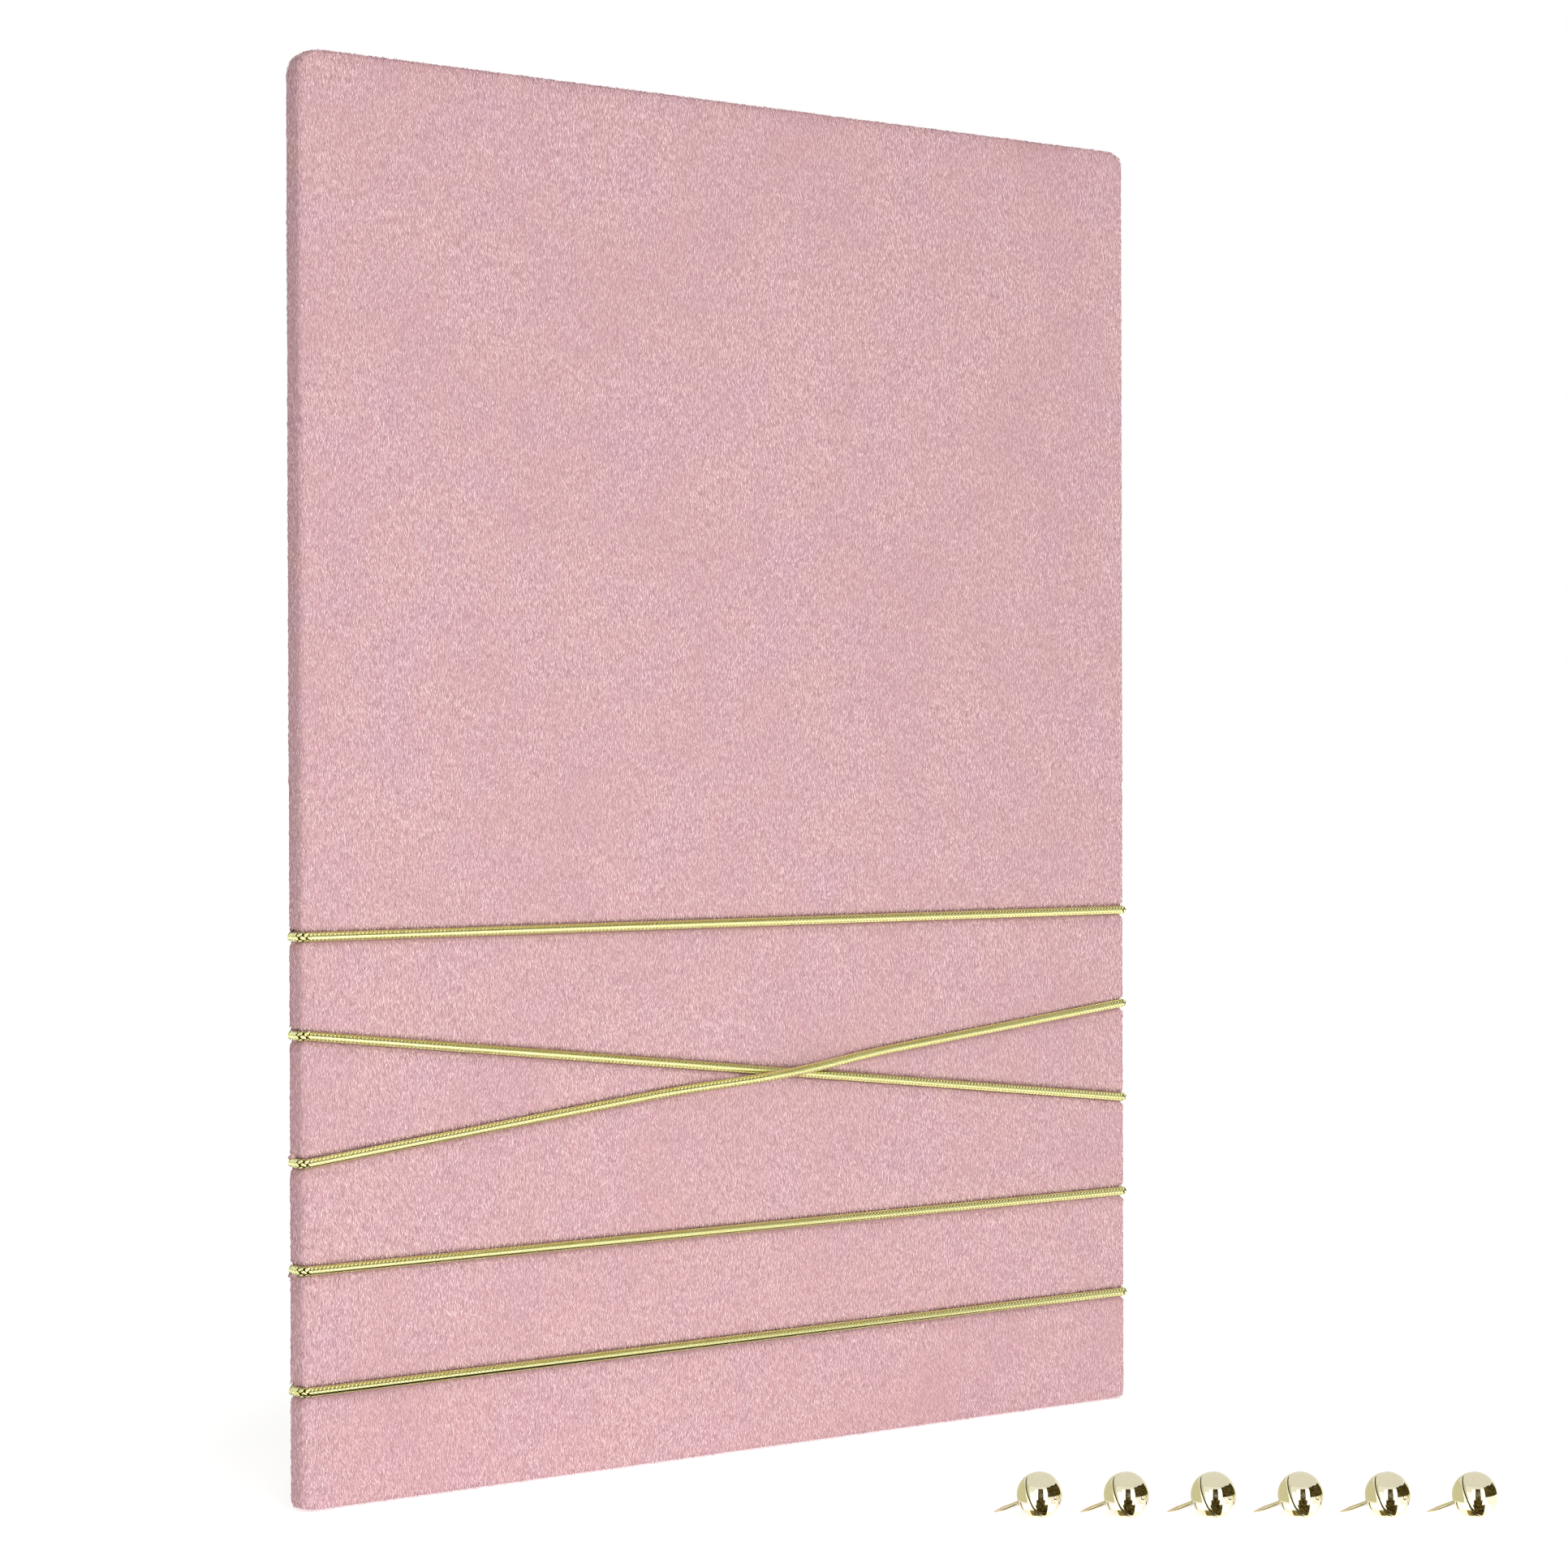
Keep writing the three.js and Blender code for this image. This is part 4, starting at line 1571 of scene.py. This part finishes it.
        turn, right = (
            sheet.add("GeometryNodeInputNamedAttribute", {"data_type": kind}, {
                "Name": name,
            }).outputs["Attribute"]
            for kind, name in (("QUATERNION", "turned"), ("BOOLEAN", "leans_right"))
        )
        left = sheet.add("FunctionNodeBooleanMath", {"operation": "NOT"}, {0: right}).outputs[0]
        both = sheet.add("GeometryNodeJoinGeometry")
        for name, chosen in (("Left Float", left), ("Right Float", right)):
            shape = sheet.add("GeometryNodeObjectInfo", {}, {"Object": given[name]}).outputs["Geometry"]
            set_out = sheet.add("GeometryNodeInstanceOnPoints", {}, {
                "Points": placed, "Selection": chosen, "Instance": shape, "Rotation": turn,
            }).outputs[0]
            sheet.tree.links.new(set_out, both.inputs[0])
        return sheet.add("GeometryNodeRealizeInstances", {}, {0: both.outputs[0]}).outputs[0]

    def turn(self, sheet: NodeSheet, given: Sockets, wale: Socket, tangent: Socket) -> Socket:
        """Turns each float to lie along the cord and face out at its wale.

        Args:
            sheet: The tree's nodes.
            given: The tree's inputs.
            wale: The number of the float's wale.
            tangent: The cord's direction at the float.

        Returns:
            The rotation of each float.
        """
        across = sheet.vector("NORMALIZE", sheet.vector("CROSS_PRODUCT", tangent, (0.0, 0.0, 1.0)))
        upward = sheet.vector("CROSS_PRODUCT", across, tangent)
        angle = sheet.math("DIVIDE", sheet.math("MULTIPLY", wale, 2 * math.pi), given["Wales"])
        angle = sheet.math("ADD", angle, given["First Wale"])
        outward = sheet.vector(
            "ADD",
            sheet.scaled(across, sheet.math("COSINE", angle)),
            sheet.scaled(upward, sheet.math("SINE", angle)),
        )
        upright = sheet.add("FunctionNodeAlignRotationToVector", {"axis": "Z"}, {"Vector": outward})
        return sheet.add("FunctionNodeAlignRotationToVector", {"axis": "Y", "pivot_axis": "Z"}, {
            "Rotation": upright.outputs[0], "Vector": tangent,
        }).outputs[0]

    def press(self, sheet: NodeSheet, given: Sockets, mesh: Socket) -> Socket:
        """Presses what lies behind the board's edge flat, under the staples and the sheet.

        Args:
            sheet: The nodes that it adds to.
            given: The tree's inputs.
            mesh: The core and the floats.

        Returns:
            The pressed cord.
        """
        depth = sheet.parts(sheet.add("GeometryNodeInputPosition").outputs[0])[1]
        beyond = sheet.math("MAXIMUM", sheet.math("SUBTRACT", depth, given["Press From"]), 0.0)
        kept = sheet.math("MULTIPLY", beyond, sheet.math("SUBTRACT", given["Press Share"], 1.0))
        return sheet.add("GeometryNodeSetPosition", {}, {
            0: mesh, "Offset": sheet.joined({1: kept}),
        }).outputs[0]


def turned_mesh(name: str, profile: list[Span], place: Matrix, segments: int,
                closed: bool) -> bpy.types.Mesh:
    """Spins a profile of (radius, height) points about an axis.

    Args:
        name: The mesh's name.
        profile: The points, from the axis to the axis, or round and back to the start.
        place: Where the axis's foot and direction go, as a 4x4 matrix.
        segments: How many sides a turn has.
        closed: Whether the profile's last point joins its first.

    Returns:
        The turned mesh with its faces pointing out.
    """
    work = bmesh.new()
    rings = []
    for radius, height in profile:
        if radius < TINY:
            rings.append([work.verts.new(place @ Vector((0, 0, height)))])
            continue
        rings.append([
            work.verts.new(place @ Vector((
                radius * math.cos(2 * math.pi * step / segments),
                radius * math.sin(2 * math.pi * step / segments),
                height,
            )))
            for step in range(segments)
        ])
    pairs = list(zip(rings, rings[1:]))
    if closed:
        pairs.append((rings[-1], rings[0]))
    for first, second in pairs:
        for step in range(segments):
            after = (step + 1) % segments
            corners = [first[step % len(first)], first[after % len(first)],
                       second[after % len(second)], second[step % len(second)]]
            unique = list(dict.fromkeys(corners))
            if len(unique) > 2:
                work.faces.new(unique)
    return finished_mesh(name, work)


@dataclass
class PushPin:
    """A ball-head push pin: a needle and two half shells, lying on its ball and its point."""

    ball: float = 12.4 * MM
    wall: float = 0.5 * MM
    seam: float = 0.3 * MM
    lap: float = 0.9 * MM
    seam_forward: float = 0.6 * MM
    lip: float = 0.12 * MM
    needle: float = 1.2 * MM
    needle_reach: float = 8.6 * MM
    needle_point: float = 4 * MM
    needle_tip: float = 0.2 * MM
    needle_fit: float = 0.3 * MM
    flange: float = 4 * MM
    flange_height: float = 0.6 * MM
    spacing: float = 23.5 * MM
    row_forward: float = 125.2 * MM
    row_right: float = 6.3 * MM
    row_turn: float = math.radians(-37.3)
    heading: float = math.radians(116)
    segments: int = 64
    outer_steps: int = 22
    inner_steps: int = 12
    point_steps: int = 5
    tip_round: Span = (0.5, 0.3)

    def place(self, index: int, board: BoardForm) -> Matrix:
        """The pin's place: its ball's middle, with +Z along the needle.

        Args:
            index: The pin, counted from the left.
            board: The board's sizes, which the row is placed from.

        Returns:
            The place as a 4x4 matrix.
        """
        radius = self.ball / 2
        along = self.spacing * index
        centre = Vector((
            self.row_right + along * math.cos(self.row_turn),
            -board.depth / 2 - self.row_forward + along * math.sin(self.row_turn),
            radius,
        ))
        tilt = math.asin((radius - self.needle_tip) / (radius + self.needle_reach))
        level = math.cos(tilt)
        axis = Vector((level * math.cos(self.heading), level * math.sin(self.heading), -math.sin(tilt)))
        return Matrix.Translation(centre) @ axis.to_track_quat("Z", "Y").to_matrix().to_4x4()

    def arc(self, radius: float, start: float, stop: float, steps: int) -> list[Span]:
        """Profile points of an arc, by the angle off the needle."""
        angles = (start + (stop - start) * step / steps for step in range(steps + 1))
        return [(radius * math.sin(angle), radius * math.cos(angle)) for angle in angles]

    def rear_profile(self) -> list[Span]:
        """The rear shell: the needle's hole, the round and the neck that laps into the front.

        Returns:
            The closed profile, as (radius, height) points.
        """
        radius = self.ball / 2
        neck = radius - self.wall - self.seam
        inner = neck - self.wall
        foot = self.seam_forward - self.lap
        hole = self.needle / 2 + self.needle_fit / 2
        edge = math.acos(self.seam_forward / radius)
        soft = self.lip / radius
        return [
            *self.arc(radius, math.asin(hole / radius), edge - soft, self.outer_steps),
            (radius * math.sin(edge) - self.lip, self.seam_forward),
            (neck, self.seam_forward),
            (neck, foot),
            *self.arc(inner, math.acos(foot / inner), math.asin(hole / inner), self.inner_steps),
        ]

    def front_profile(self) -> list[Span]:
        """The front shell: a bowl with a soft rim at the seam.

        Returns:
            The profile from the rim to the rim, by the axis.
        """
        radius = self.ball / 2
        inner = radius - self.wall
        rim = self.seam_forward - self.seam
        edge = math.acos(rim / radius)
        return [
            (radius * math.sin(edge) - self.lip, rim),
            *self.arc(radius, edge + self.lip / radius, math.pi, self.outer_steps)[:-1],
            (0.0, -radius),
            (0.0, -inner),
            *self.arc(inner, math.pi, math.acos(rim / inner), self.inner_steps)[1:],
        ]

    def needle_profile(self) -> list[Span]:
        """The needle: its flange inside the ball, the shaft and a ground point.

        Returns:
            The profile from the flange to the tip.
        """
        shaft = self.needle / 2
        tip = self.ball / 2 + self.needle_reach
        top = self.ball / 2 - 2 * self.wall - self.seam - 2 * self.needle_fit
        taper = [
            (self.needle_tip + (shaft - self.needle_tip) * math.sin(share * math.pi / 2),
             tip - self.needle_tip - (self.needle_point - self.needle_tip) * share)
            for share in (step / self.point_steps for step in range(self.point_steps + 1))
        ]
        wide, short = self.tip_round
        return [
            (0.0, top - self.flange_height),
            (self.flange / 2, top - self.flange_height),
            (self.flange / 2, top),
            (shaft, top),
            *reversed(taper),
            (wide * self.needle_tip, tip - short * self.needle_tip),
            (0.0, tip),
        ]

    def build(self, index: int, board: BoardForm, palette: Palette) -> dict[str, bpy.types.Object]:
        """Turns the three pieces of one pin.

        Args:
            index: The pin, counted from the left.
            board: The board's sizes, which the row is placed from.
            palette: The materials.

        Returns:
            Each piece by the name of the CAD node that it stands for.
        """
        place = self.place(index, board)
        label = f"pin_{index + 1}"
        profiles = {
            "needle": (self.needle_profile(), palette.needle, False),
            "rear_shell": (self.rear_profile(), palette.ball, True),
            "front_shell": (self.front_profile(), palette.ball, False),
        }
        made = {}
        for part, (profile, material, closed) in profiles.items():
            mesh = turned_mesh(part, profile, place, self.segments, closed)
            made[f"{label}_{part}"] = mesh_object(f"{label}_{part}_turned", mesh, material)
        return made


class CardTone(Enum):
    """The tones of the cards that only shiny surfaces see: ground colour and spots."""

    BLACK = (from_display(4, 4, 0), from_display(12, 11, 2))
    STRAW = (from_display(222, 206, 124), from_display(206, 186, 96))
    DARK = (from_display(34, 26, 10), from_display(112, 98, 52))
    BROWN = (from_display(120, 100, 44), from_display(176, 158, 96))
    WHITE = (from_display(255, 255, 255), from_display(250, 250, 246))
    PALE = (from_display(241, 240, 236), from_display(236, 235, 230))
    SOFT = (from_display(224, 222, 190), from_display(216, 213, 178))

    @property
    def strength(self) -> float:
        """How brightly a card of this tone shines."""
        return WHITE_CARD_STRENGTH if self is CardTone.WHITE else 1.0


@dataclass(frozen=True)
class Card:
    """A card on the small tent round a ball, by its angles off the camera and off the level.

    The angles and the step of its faces are in degrees.
    """

    tone: CardTone
    left: float
    right: float
    foot: float
    top: float
    reach: float = 11 * MM
    step: float = 6.0
    floor_gap: float = 0.3 * MM

    def add(self, work: bmesh.types.BMesh, centre: Vector, toward_camera: float) -> None:
        """Adds the card's faces, which look at the ball.

        Args:
            work: The mesh that the cards of one tone share.
            centre: The ball's middle.
            toward_camera: The camera's heading from the balls.
        """
        columns = max(1, round((self.right - self.left) / self.step))
        rows = max(1, round((self.top - self.foot) / self.step))
        grid = []
        for row in range(rows + 1):
            lift = math.radians(self.foot + (self.top - self.foot) * row / rows)
            reach = self.reach
            if centre.z + reach * math.sin(lift) < self.floor_gap:
                reach = (self.floor_gap - centre.z) / math.sin(lift)
            line = []
            for column in range(columns + 1):
                turn = toward_camera + math.radians(self.left + (self.right - self.left) * column / columns)
                line.append(work.verts.new(centre + reach * Vector((
                    math.cos(turn) * math.cos(lift), math.sin(turn) * math.cos(lift), math.sin(lift),
                ))))
            grid.append(line)
        for low, high in zip(grid, grid[1:]):
            for column in range(columns):
                work.faces.new((low[column], high[column], high[column + 1], low[column + 1]))


@dataclass(frozen=True)
class SoftBox:
    """A lamp: where it stands, what it shines at, its size and its power in watts."""

    name: str
    place: Place
    aim: Place
    size: Span
    power: float


@dataclass(frozen=True)
class Panel:
    """A flat card by its corners, counter-clockwise seen from its front."""

    name: str
    tone: CardTone
    corners: tuple[Place, ...]


@dataclass(frozen=True)
class Upright:
    """An edge between two cards of the wall: its foot, where pale meets dark, and its top."""

    foot: Place
    joint: Place
    top: Place


@dataclass
class Studio:
    """The camera, the lamps, the floor and what only the metal sees.

    The floor is lifted to white where the camera, a mirror or glass sees it, less near the object so
    that its shadow stays, and it throws a little light back onto the object. The wall is a row of
    cards between uprights: pale ones at the foot and dark bars above them, which the cords mirror.
    """

    cards: tuple[Card, ...] = (
        Card(CardTone.DARK, -6, 14, -8, 31),
        Card(CardTone.DARK, -12, 20, -26, -8),
        Card(CardTone.DARK, -16, 34, -60, -26),
        Card(CardTone.BROWN, -44, -16, -62, -44),
        Card(CardTone.DARK, 30, 100, 1, 36),
        Card(CardTone.WHITE, -20, -6, 12, 29),
        Card(CardTone.WHITE, -33, -6, -8, 12),
        Card(CardTone.WHITE, -48, -12, -26, -8),
        Card(CardTone.WHITE, -80, -16, -44, -26),
        Card(CardTone.WHITE, 14, 30, -8, 30),
        Card(CardTone.WHITE, 20, 42, -26, -8),
        Card(CardTone.WHITE, 34, 78, -50, -26),
        Card(CardTone.DARK, -108, -97, -44, -24, 22 * MM),
        Card(CardTone.PALE, -180, 180, 56, 90),
        Card(CardTone.PALE, -180, 180, 38, 56),
        Card(CardTone.SOFT, -200, -48, -20, 38),
    )
    lamps: tuple[SoftBox, ...] = (
        SoftBox("front soft box", (-0.6, -1.75, 0.25), (0, 0, 0.15), (1.4, 0.8), 27.5),
        SoftBox("top soft box", (-0.1, -0.6, 1.9), (0, 0, 0.15), (1.6, 1.2), 3.5),
        SoftBox("left fill", (-1.9, -0.5, 0.3), (0, 0, 0.15), (0.7, 0.9), 1.2),
        SoftBox("low soft box", (-0.12, -0.50, 0.05), (0, 0, 0.04), (0.9, 0.09), 0.5),
    )
    uprights: tuple[Upright, ...] = (
        Upright((0.60, -1.92, 0.0), (0.60, -1.88, 0.18), (0.60, -1.60, 0.92)),
        Upright((0.81, -1.64, 0.0), (0.81, -1.59, 0.50), (0.81, -1.22, 1.17)),
        Upright((1.16, -1.44, 0.0), (1.16, -1.40, 0.86), (1.16, -0.50, 1.61)),
        Upright((1.48, -1.06, 0.0), (1.48, -1.02, 1.26), (1.48, 0.12, 1.66)),
    )
    bars: tuple[str, ...] = ("dark_bar_low", "dark_bar_middle", "dark_bar_high")
    feet: tuple[tuple[str, CardTone], ...] = (
        ("white_card_low", CardTone.WHITE),
        ("white_card_middle", CardTone.WHITE),
        ("pale_card_high", CardTone.PALE),
    )
    panels: tuple[Panel, ...] = (
        Panel("straw_card_above", CardTone.STRAW, (
            (0.60, -1.50, 1.70), (0.60, 0.80, 1.70), (1.80, 0.80, 1.70), (1.62, -0.02, 1.70),
            (1.30, -0.72, 1.70), (1.00, -1.42, 1.70),
        )),
        # Black sheets on the floor just in front of the board stand in for the shade at its foot, which the
        # cords mirror: a painted reflection of shade.
        Panel("dark_foot_left", CardTone.BLACK, (
            (-0.26, -0.035, 0.0004), (-0.02, -0.075, 0.0004), (-0.02, -0.008, 0.0004),
            (-0.26, -0.008, 0.0004),
        )),
        Panel("dark_foot_right", CardTone.BLACK, (
            (-0.02, -0.055, 0.0004), (0.07, -0.048, 0.0004), (0.15, -0.015, 0.0004),
            (0.15, -0.008, 0.0004), (-0.02, -0.008, 0.0004),
        )),
        Panel("dark_card_left", CardTone.BLACK, (
            (-1.25, -0.45, 0.0), (-1.0, -0.9, 0.0), (-1.0, -0.9, 0.6), (-1.25, -0.45, 0.6),
        )),
        Panel("brown_card_left", CardTone.BROWN, (
            (-0.35, 1.2, 0.0), (-1.4, 1.2, 0.0), (-1.4, 1.2, 1.1), (-0.35, 1.2, 1.1),
        )),
    )
    card_mottle: Grain = Grain(0.9, 3.0, 0.7)
    mottle_span: Span = (0.42, 0.62)
    room_strength: float = 0.45
    floor_reach: float = 30.0
    floor_grey: float = 0.9
    lift_reach: Span = (0.15, 0.55)
    floor_lift: Span = (0.5, 1.0)
    bounce_reach: Span = (0.15, 0.7)
    floor_bounce: Span = (0.5, 0.0)
    eye: Vector = field(default_factory=lambda: Vector((-636.4, -881.8, 204.0)) * MM)
    yaw: float = math.radians(36.52)
    pitch: float = math.radians(-0.312)
    roll: float = math.radians(-0.156)
    lens: float = 83.9
    sensor: float = 36.0
    clip: Span = (0.01, 100.0)

    def camera(self) -> None:
        """Sets the camera where the photograph was taken from."""
        ahead = Vector((
            math.sin(self.yaw) * math.cos(self.pitch),
            math.cos(self.yaw) * math.cos(self.pitch),
            math.sin(self.pitch),
        ))
        level = Vector((math.cos(self.yaw), -math.sin(self.yaw), 0))
        above = level.cross(ahead)
        right = level * math.cos(self.roll) + above * math.sin(self.roll)
        upward = right.cross(ahead)
        data = bpy.data.cameras.new("camera")
        data.lens = self.lens
        data.sensor_width = self.sensor
        data.clip_start, data.clip_end = self.clip
        camera = linked("camera", data)
        turn = Matrix((right, upward, -ahead)).transposed().to_4x4()
        camera.matrix_world = Matrix.Translation(self.eye) @ turn
        bpy.context.scene.camera = camera

    def light(self) -> None:
        """Lights the front from near the camera, with weak lamps above, at the left and low down."""
        for box in self.lamps:
            data = bpy.data.lights.new(box.name, "AREA")
            data.shape = "RECTANGLE"
            data.size, data.size_y = box.size
            data.energy = box.power
            lamp = linked(box.name, data)
            place = Vector(box.place)
            turn = (Vector(box.aim) - place).to_track_quat("-Z", "Y").to_matrix().to_4x4()
            lamp.matrix_world = Matrix.Translation(place) @ turn
            lamp.visible_camera = False

    def world(self) -> None:
        """Fills the room with even light, and shows white where nothing stands."""
        world = bpy.data.worlds.new("room")
        bpy.context.scene.world = world
        world.use_nodes = True
        sheet = NodeSheet(world.node_tree)
        room, white = (
            sheet.add("ShaderNodeBackground", {}, {"Color": (1, 1, 1, 1), "Strength": strength})
            for strength in (self.room_strength, 1.0)
        )
        mixed = sheet.add("ShaderNodeMixShader", {}, {
            0: sheet.seen_rays(), 1: room.outputs[0], 2: white.outputs[0],
        })
        sheet.show("ShaderNodeOutputWorld", mixed.outputs[0])

    def floor(self) -> None:
        """Lays the white floor, which keeps the object's shadow and throws a little light back."""
        mesh = bpy.data.meshes.new("floor")
        reach = self.floor_reach
        corners = [(-reach, -reach, 0), (reach, -reach, 0), (reach, reach, 0), (-reach, reach, 0)]
        mesh.from_pydata(corners, [], [(0, 1, 2, 3)])
        material, sheet = new_material("white floor")
        shown = sheet.seen_rays()
        matte = sheet.add("ShaderNodeBsdfDiffuse", {}, {"Color": rgba((self.floor_grey,) * 3)})
        away = sheet.add("ShaderNodeVectorMath", {"operation": "LENGTH"}, {
            0: sheet.place(),
        }).outputs["Value"]
        lift = sheet.math("MULTIPLY", shown, sheet.spread(away, self.lift_reach, self.floor_lift))
        unseen = sheet.math("SUBTRACT", 1.0, shown)
        bounce = sheet.math("MULTIPLY", unseen, sheet.spread(away, self.bounce_reach, self.floor_bounce))
        glow = sheet.add("ShaderNodeEmission", {}, {
            "Color": (1, 1, 1, 1), "Strength": sheet.math("ADD", lift, bounce),
        })
        both = sheet.add("ShaderNodeAddShader", {}, {0: matte.outputs[0], 1: glow.outputs[0]})
        sheet.show("ShaderNodeOutputMaterial", both.outputs[0])
        floor = mesh_object("floor", mesh, material, smooth=False)

    def unseen(self, name: str, mesh: bpy.types.Mesh, tone: CardTone) -> None:
        """Puts up a card that only shiny surfaces see, from its front, and that casts no shadow.

        Args:
            name: The card's name.
            mesh: Its faces, which point at what mirrors them.
            tone: Its colours and strength.
        """
        material, sheet = new_material(name)
        mottle = sheet.spread(sheet.noise(sheet.millimetres(), self.card_mottle), self.mottle_span)
        level, spots = tone.value
        front = sheet.add("ShaderNodeEmission", {}, {
            "Color": sheet.blend(mottle, rgba(level), rgba(spots)), "Strength": tone.strength,
        })
        back = sheet.add("ShaderNodeBsdfTransparent")
        facing = sheet.add("ShaderNodeNewGeometry").outputs["Backfacing"]
        both = sheet.add("ShaderNodeMixShader", {}, {
            0: facing, 1: front.outputs[0], 2: back.outputs[0],
        })
        sheet.show("ShaderNodeOutputMaterial", both.outputs[0])
        card = mesh_object(name, mesh, material, smooth=False)
        card.visible_camera = False
        card.visible_diffuse = False
        card.visible_shadow = False
        card.visible_transmission = False

    def tents(self, centres: list[Vector]) -> None:
        """Sets small cards round each pin, as a photographer does for a mirror ball.

        Args:
            centres: The balls' middles.
        """
        toward_camera = math.atan2(self.eye.y - centres[0].y, self.eye.x - centres[0].x)
        for tone in dict.fromkeys(card.tone for card in self.cards):
            work = bmesh.new()
            for centre in centres:
                for card in self.cards:
                    if card.tone is tone:
                        card.add(work, centre, toward_camera)
            label = tone.name.lower()
            self.unseen(f"{label}_pin_cards", finished_mesh(label, work, outward=False), tone)

    def wall(self) -> list[Panel]:
        """Gives the wall of cards that the cords and the needles mirror.

        Returns:
            The dark bars and then the pale cards beneath them, between each two uprights.
        """
        pairs = list(zip(self.uprights, self.uprights[1:]))
        bars = [
            Panel(name, CardTone.BLACK, (near.joint, near.top, far.top, far.joint))
            for name, (near, far) in zip(self.bars, pairs, strict=True)
        ]
        feet = [
            Panel(name, tone, (near.foot, near.joint, far.joint, far.foot))
            for (name, tone), (near, far) in zip(self.feet, pairs, strict=True)
        ]
        return bars + feet

    def build(self, centres: list[Vector]) -> None:
        """Sets up the whole studio.

        Args:
            centres: The middles of the pins' balls.
        """
        self.light()
        self.world()
        self.floor()
        self.tents(centres)
        for panel in (*self.wall(), *self.panels):
            mesh = bpy.data.meshes.new(panel.name)
            mesh.from_pydata(panel.corners, [], [tuple(range(len(panel.corners)))])
            self.unseen(panel.name, mesh, panel.tone)
        bpy.context.scene.view_settings.view_transform = "Standard"


def write_sizes() -> None:
    """Brings the view layer up to date.
    """
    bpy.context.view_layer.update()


def main() -> None:
    """Builds the classes in order and reports each piece."""
    logging.basicConfig(level=logging.INFO, format="%(name)s: %(message)s")
    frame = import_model()
    board = BoardForm()
    pin = PushPin()
    studio = Studio()
    studio.camera()
    studio.build([pin.place(index, board).translation for index in range(PIN_COUNT)])
    palette = Palette.mixed()
    route = CordRoute(board, CordForm())

    wrap = PlushCover(board, route)
    skin = wrap.skin_mesh()
    cover = wrap.build(skin, palette.plush)
    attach(cover, "board")
    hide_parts("plush_cover")
    log.info("plush wrap with %d faces", len(cover.data.polygons))
    for band in PlushPile().build(skin, palette.tuft):
        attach(band, "board")
        log.info("%s with %d faces", band.name, len(band.data.polygons))

    braid = BraidedCord(route)
    for index in range(CORD_COUNT):
        cord = braid.build(index, palette.braid)
        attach(cord, "board")
        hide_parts(f"elastic_cord_{index + 1}")
        log.info("cord %d with %d faces", index + 1, len(cord.data.polygons))

    for index in range(PIN_COUNT):
        for node, piece in pin.build(index, board, palette).items():
            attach(piece, f"pin_{index + 1}")
            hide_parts(node)
        log.info("pin %d turned", index + 1)

    boards = {"core_board": palette.core, "backing_sheet": palette.sheet}
    for name, node in frame["nodes"].items():
        if name in boards or "staple" in name or "hanger" in name:
            dress(node.data, boards.get(name, palette.steel))
            log.info("%s dressed", name)
    write_sizes()


if __name__ == "__main__":
    main()
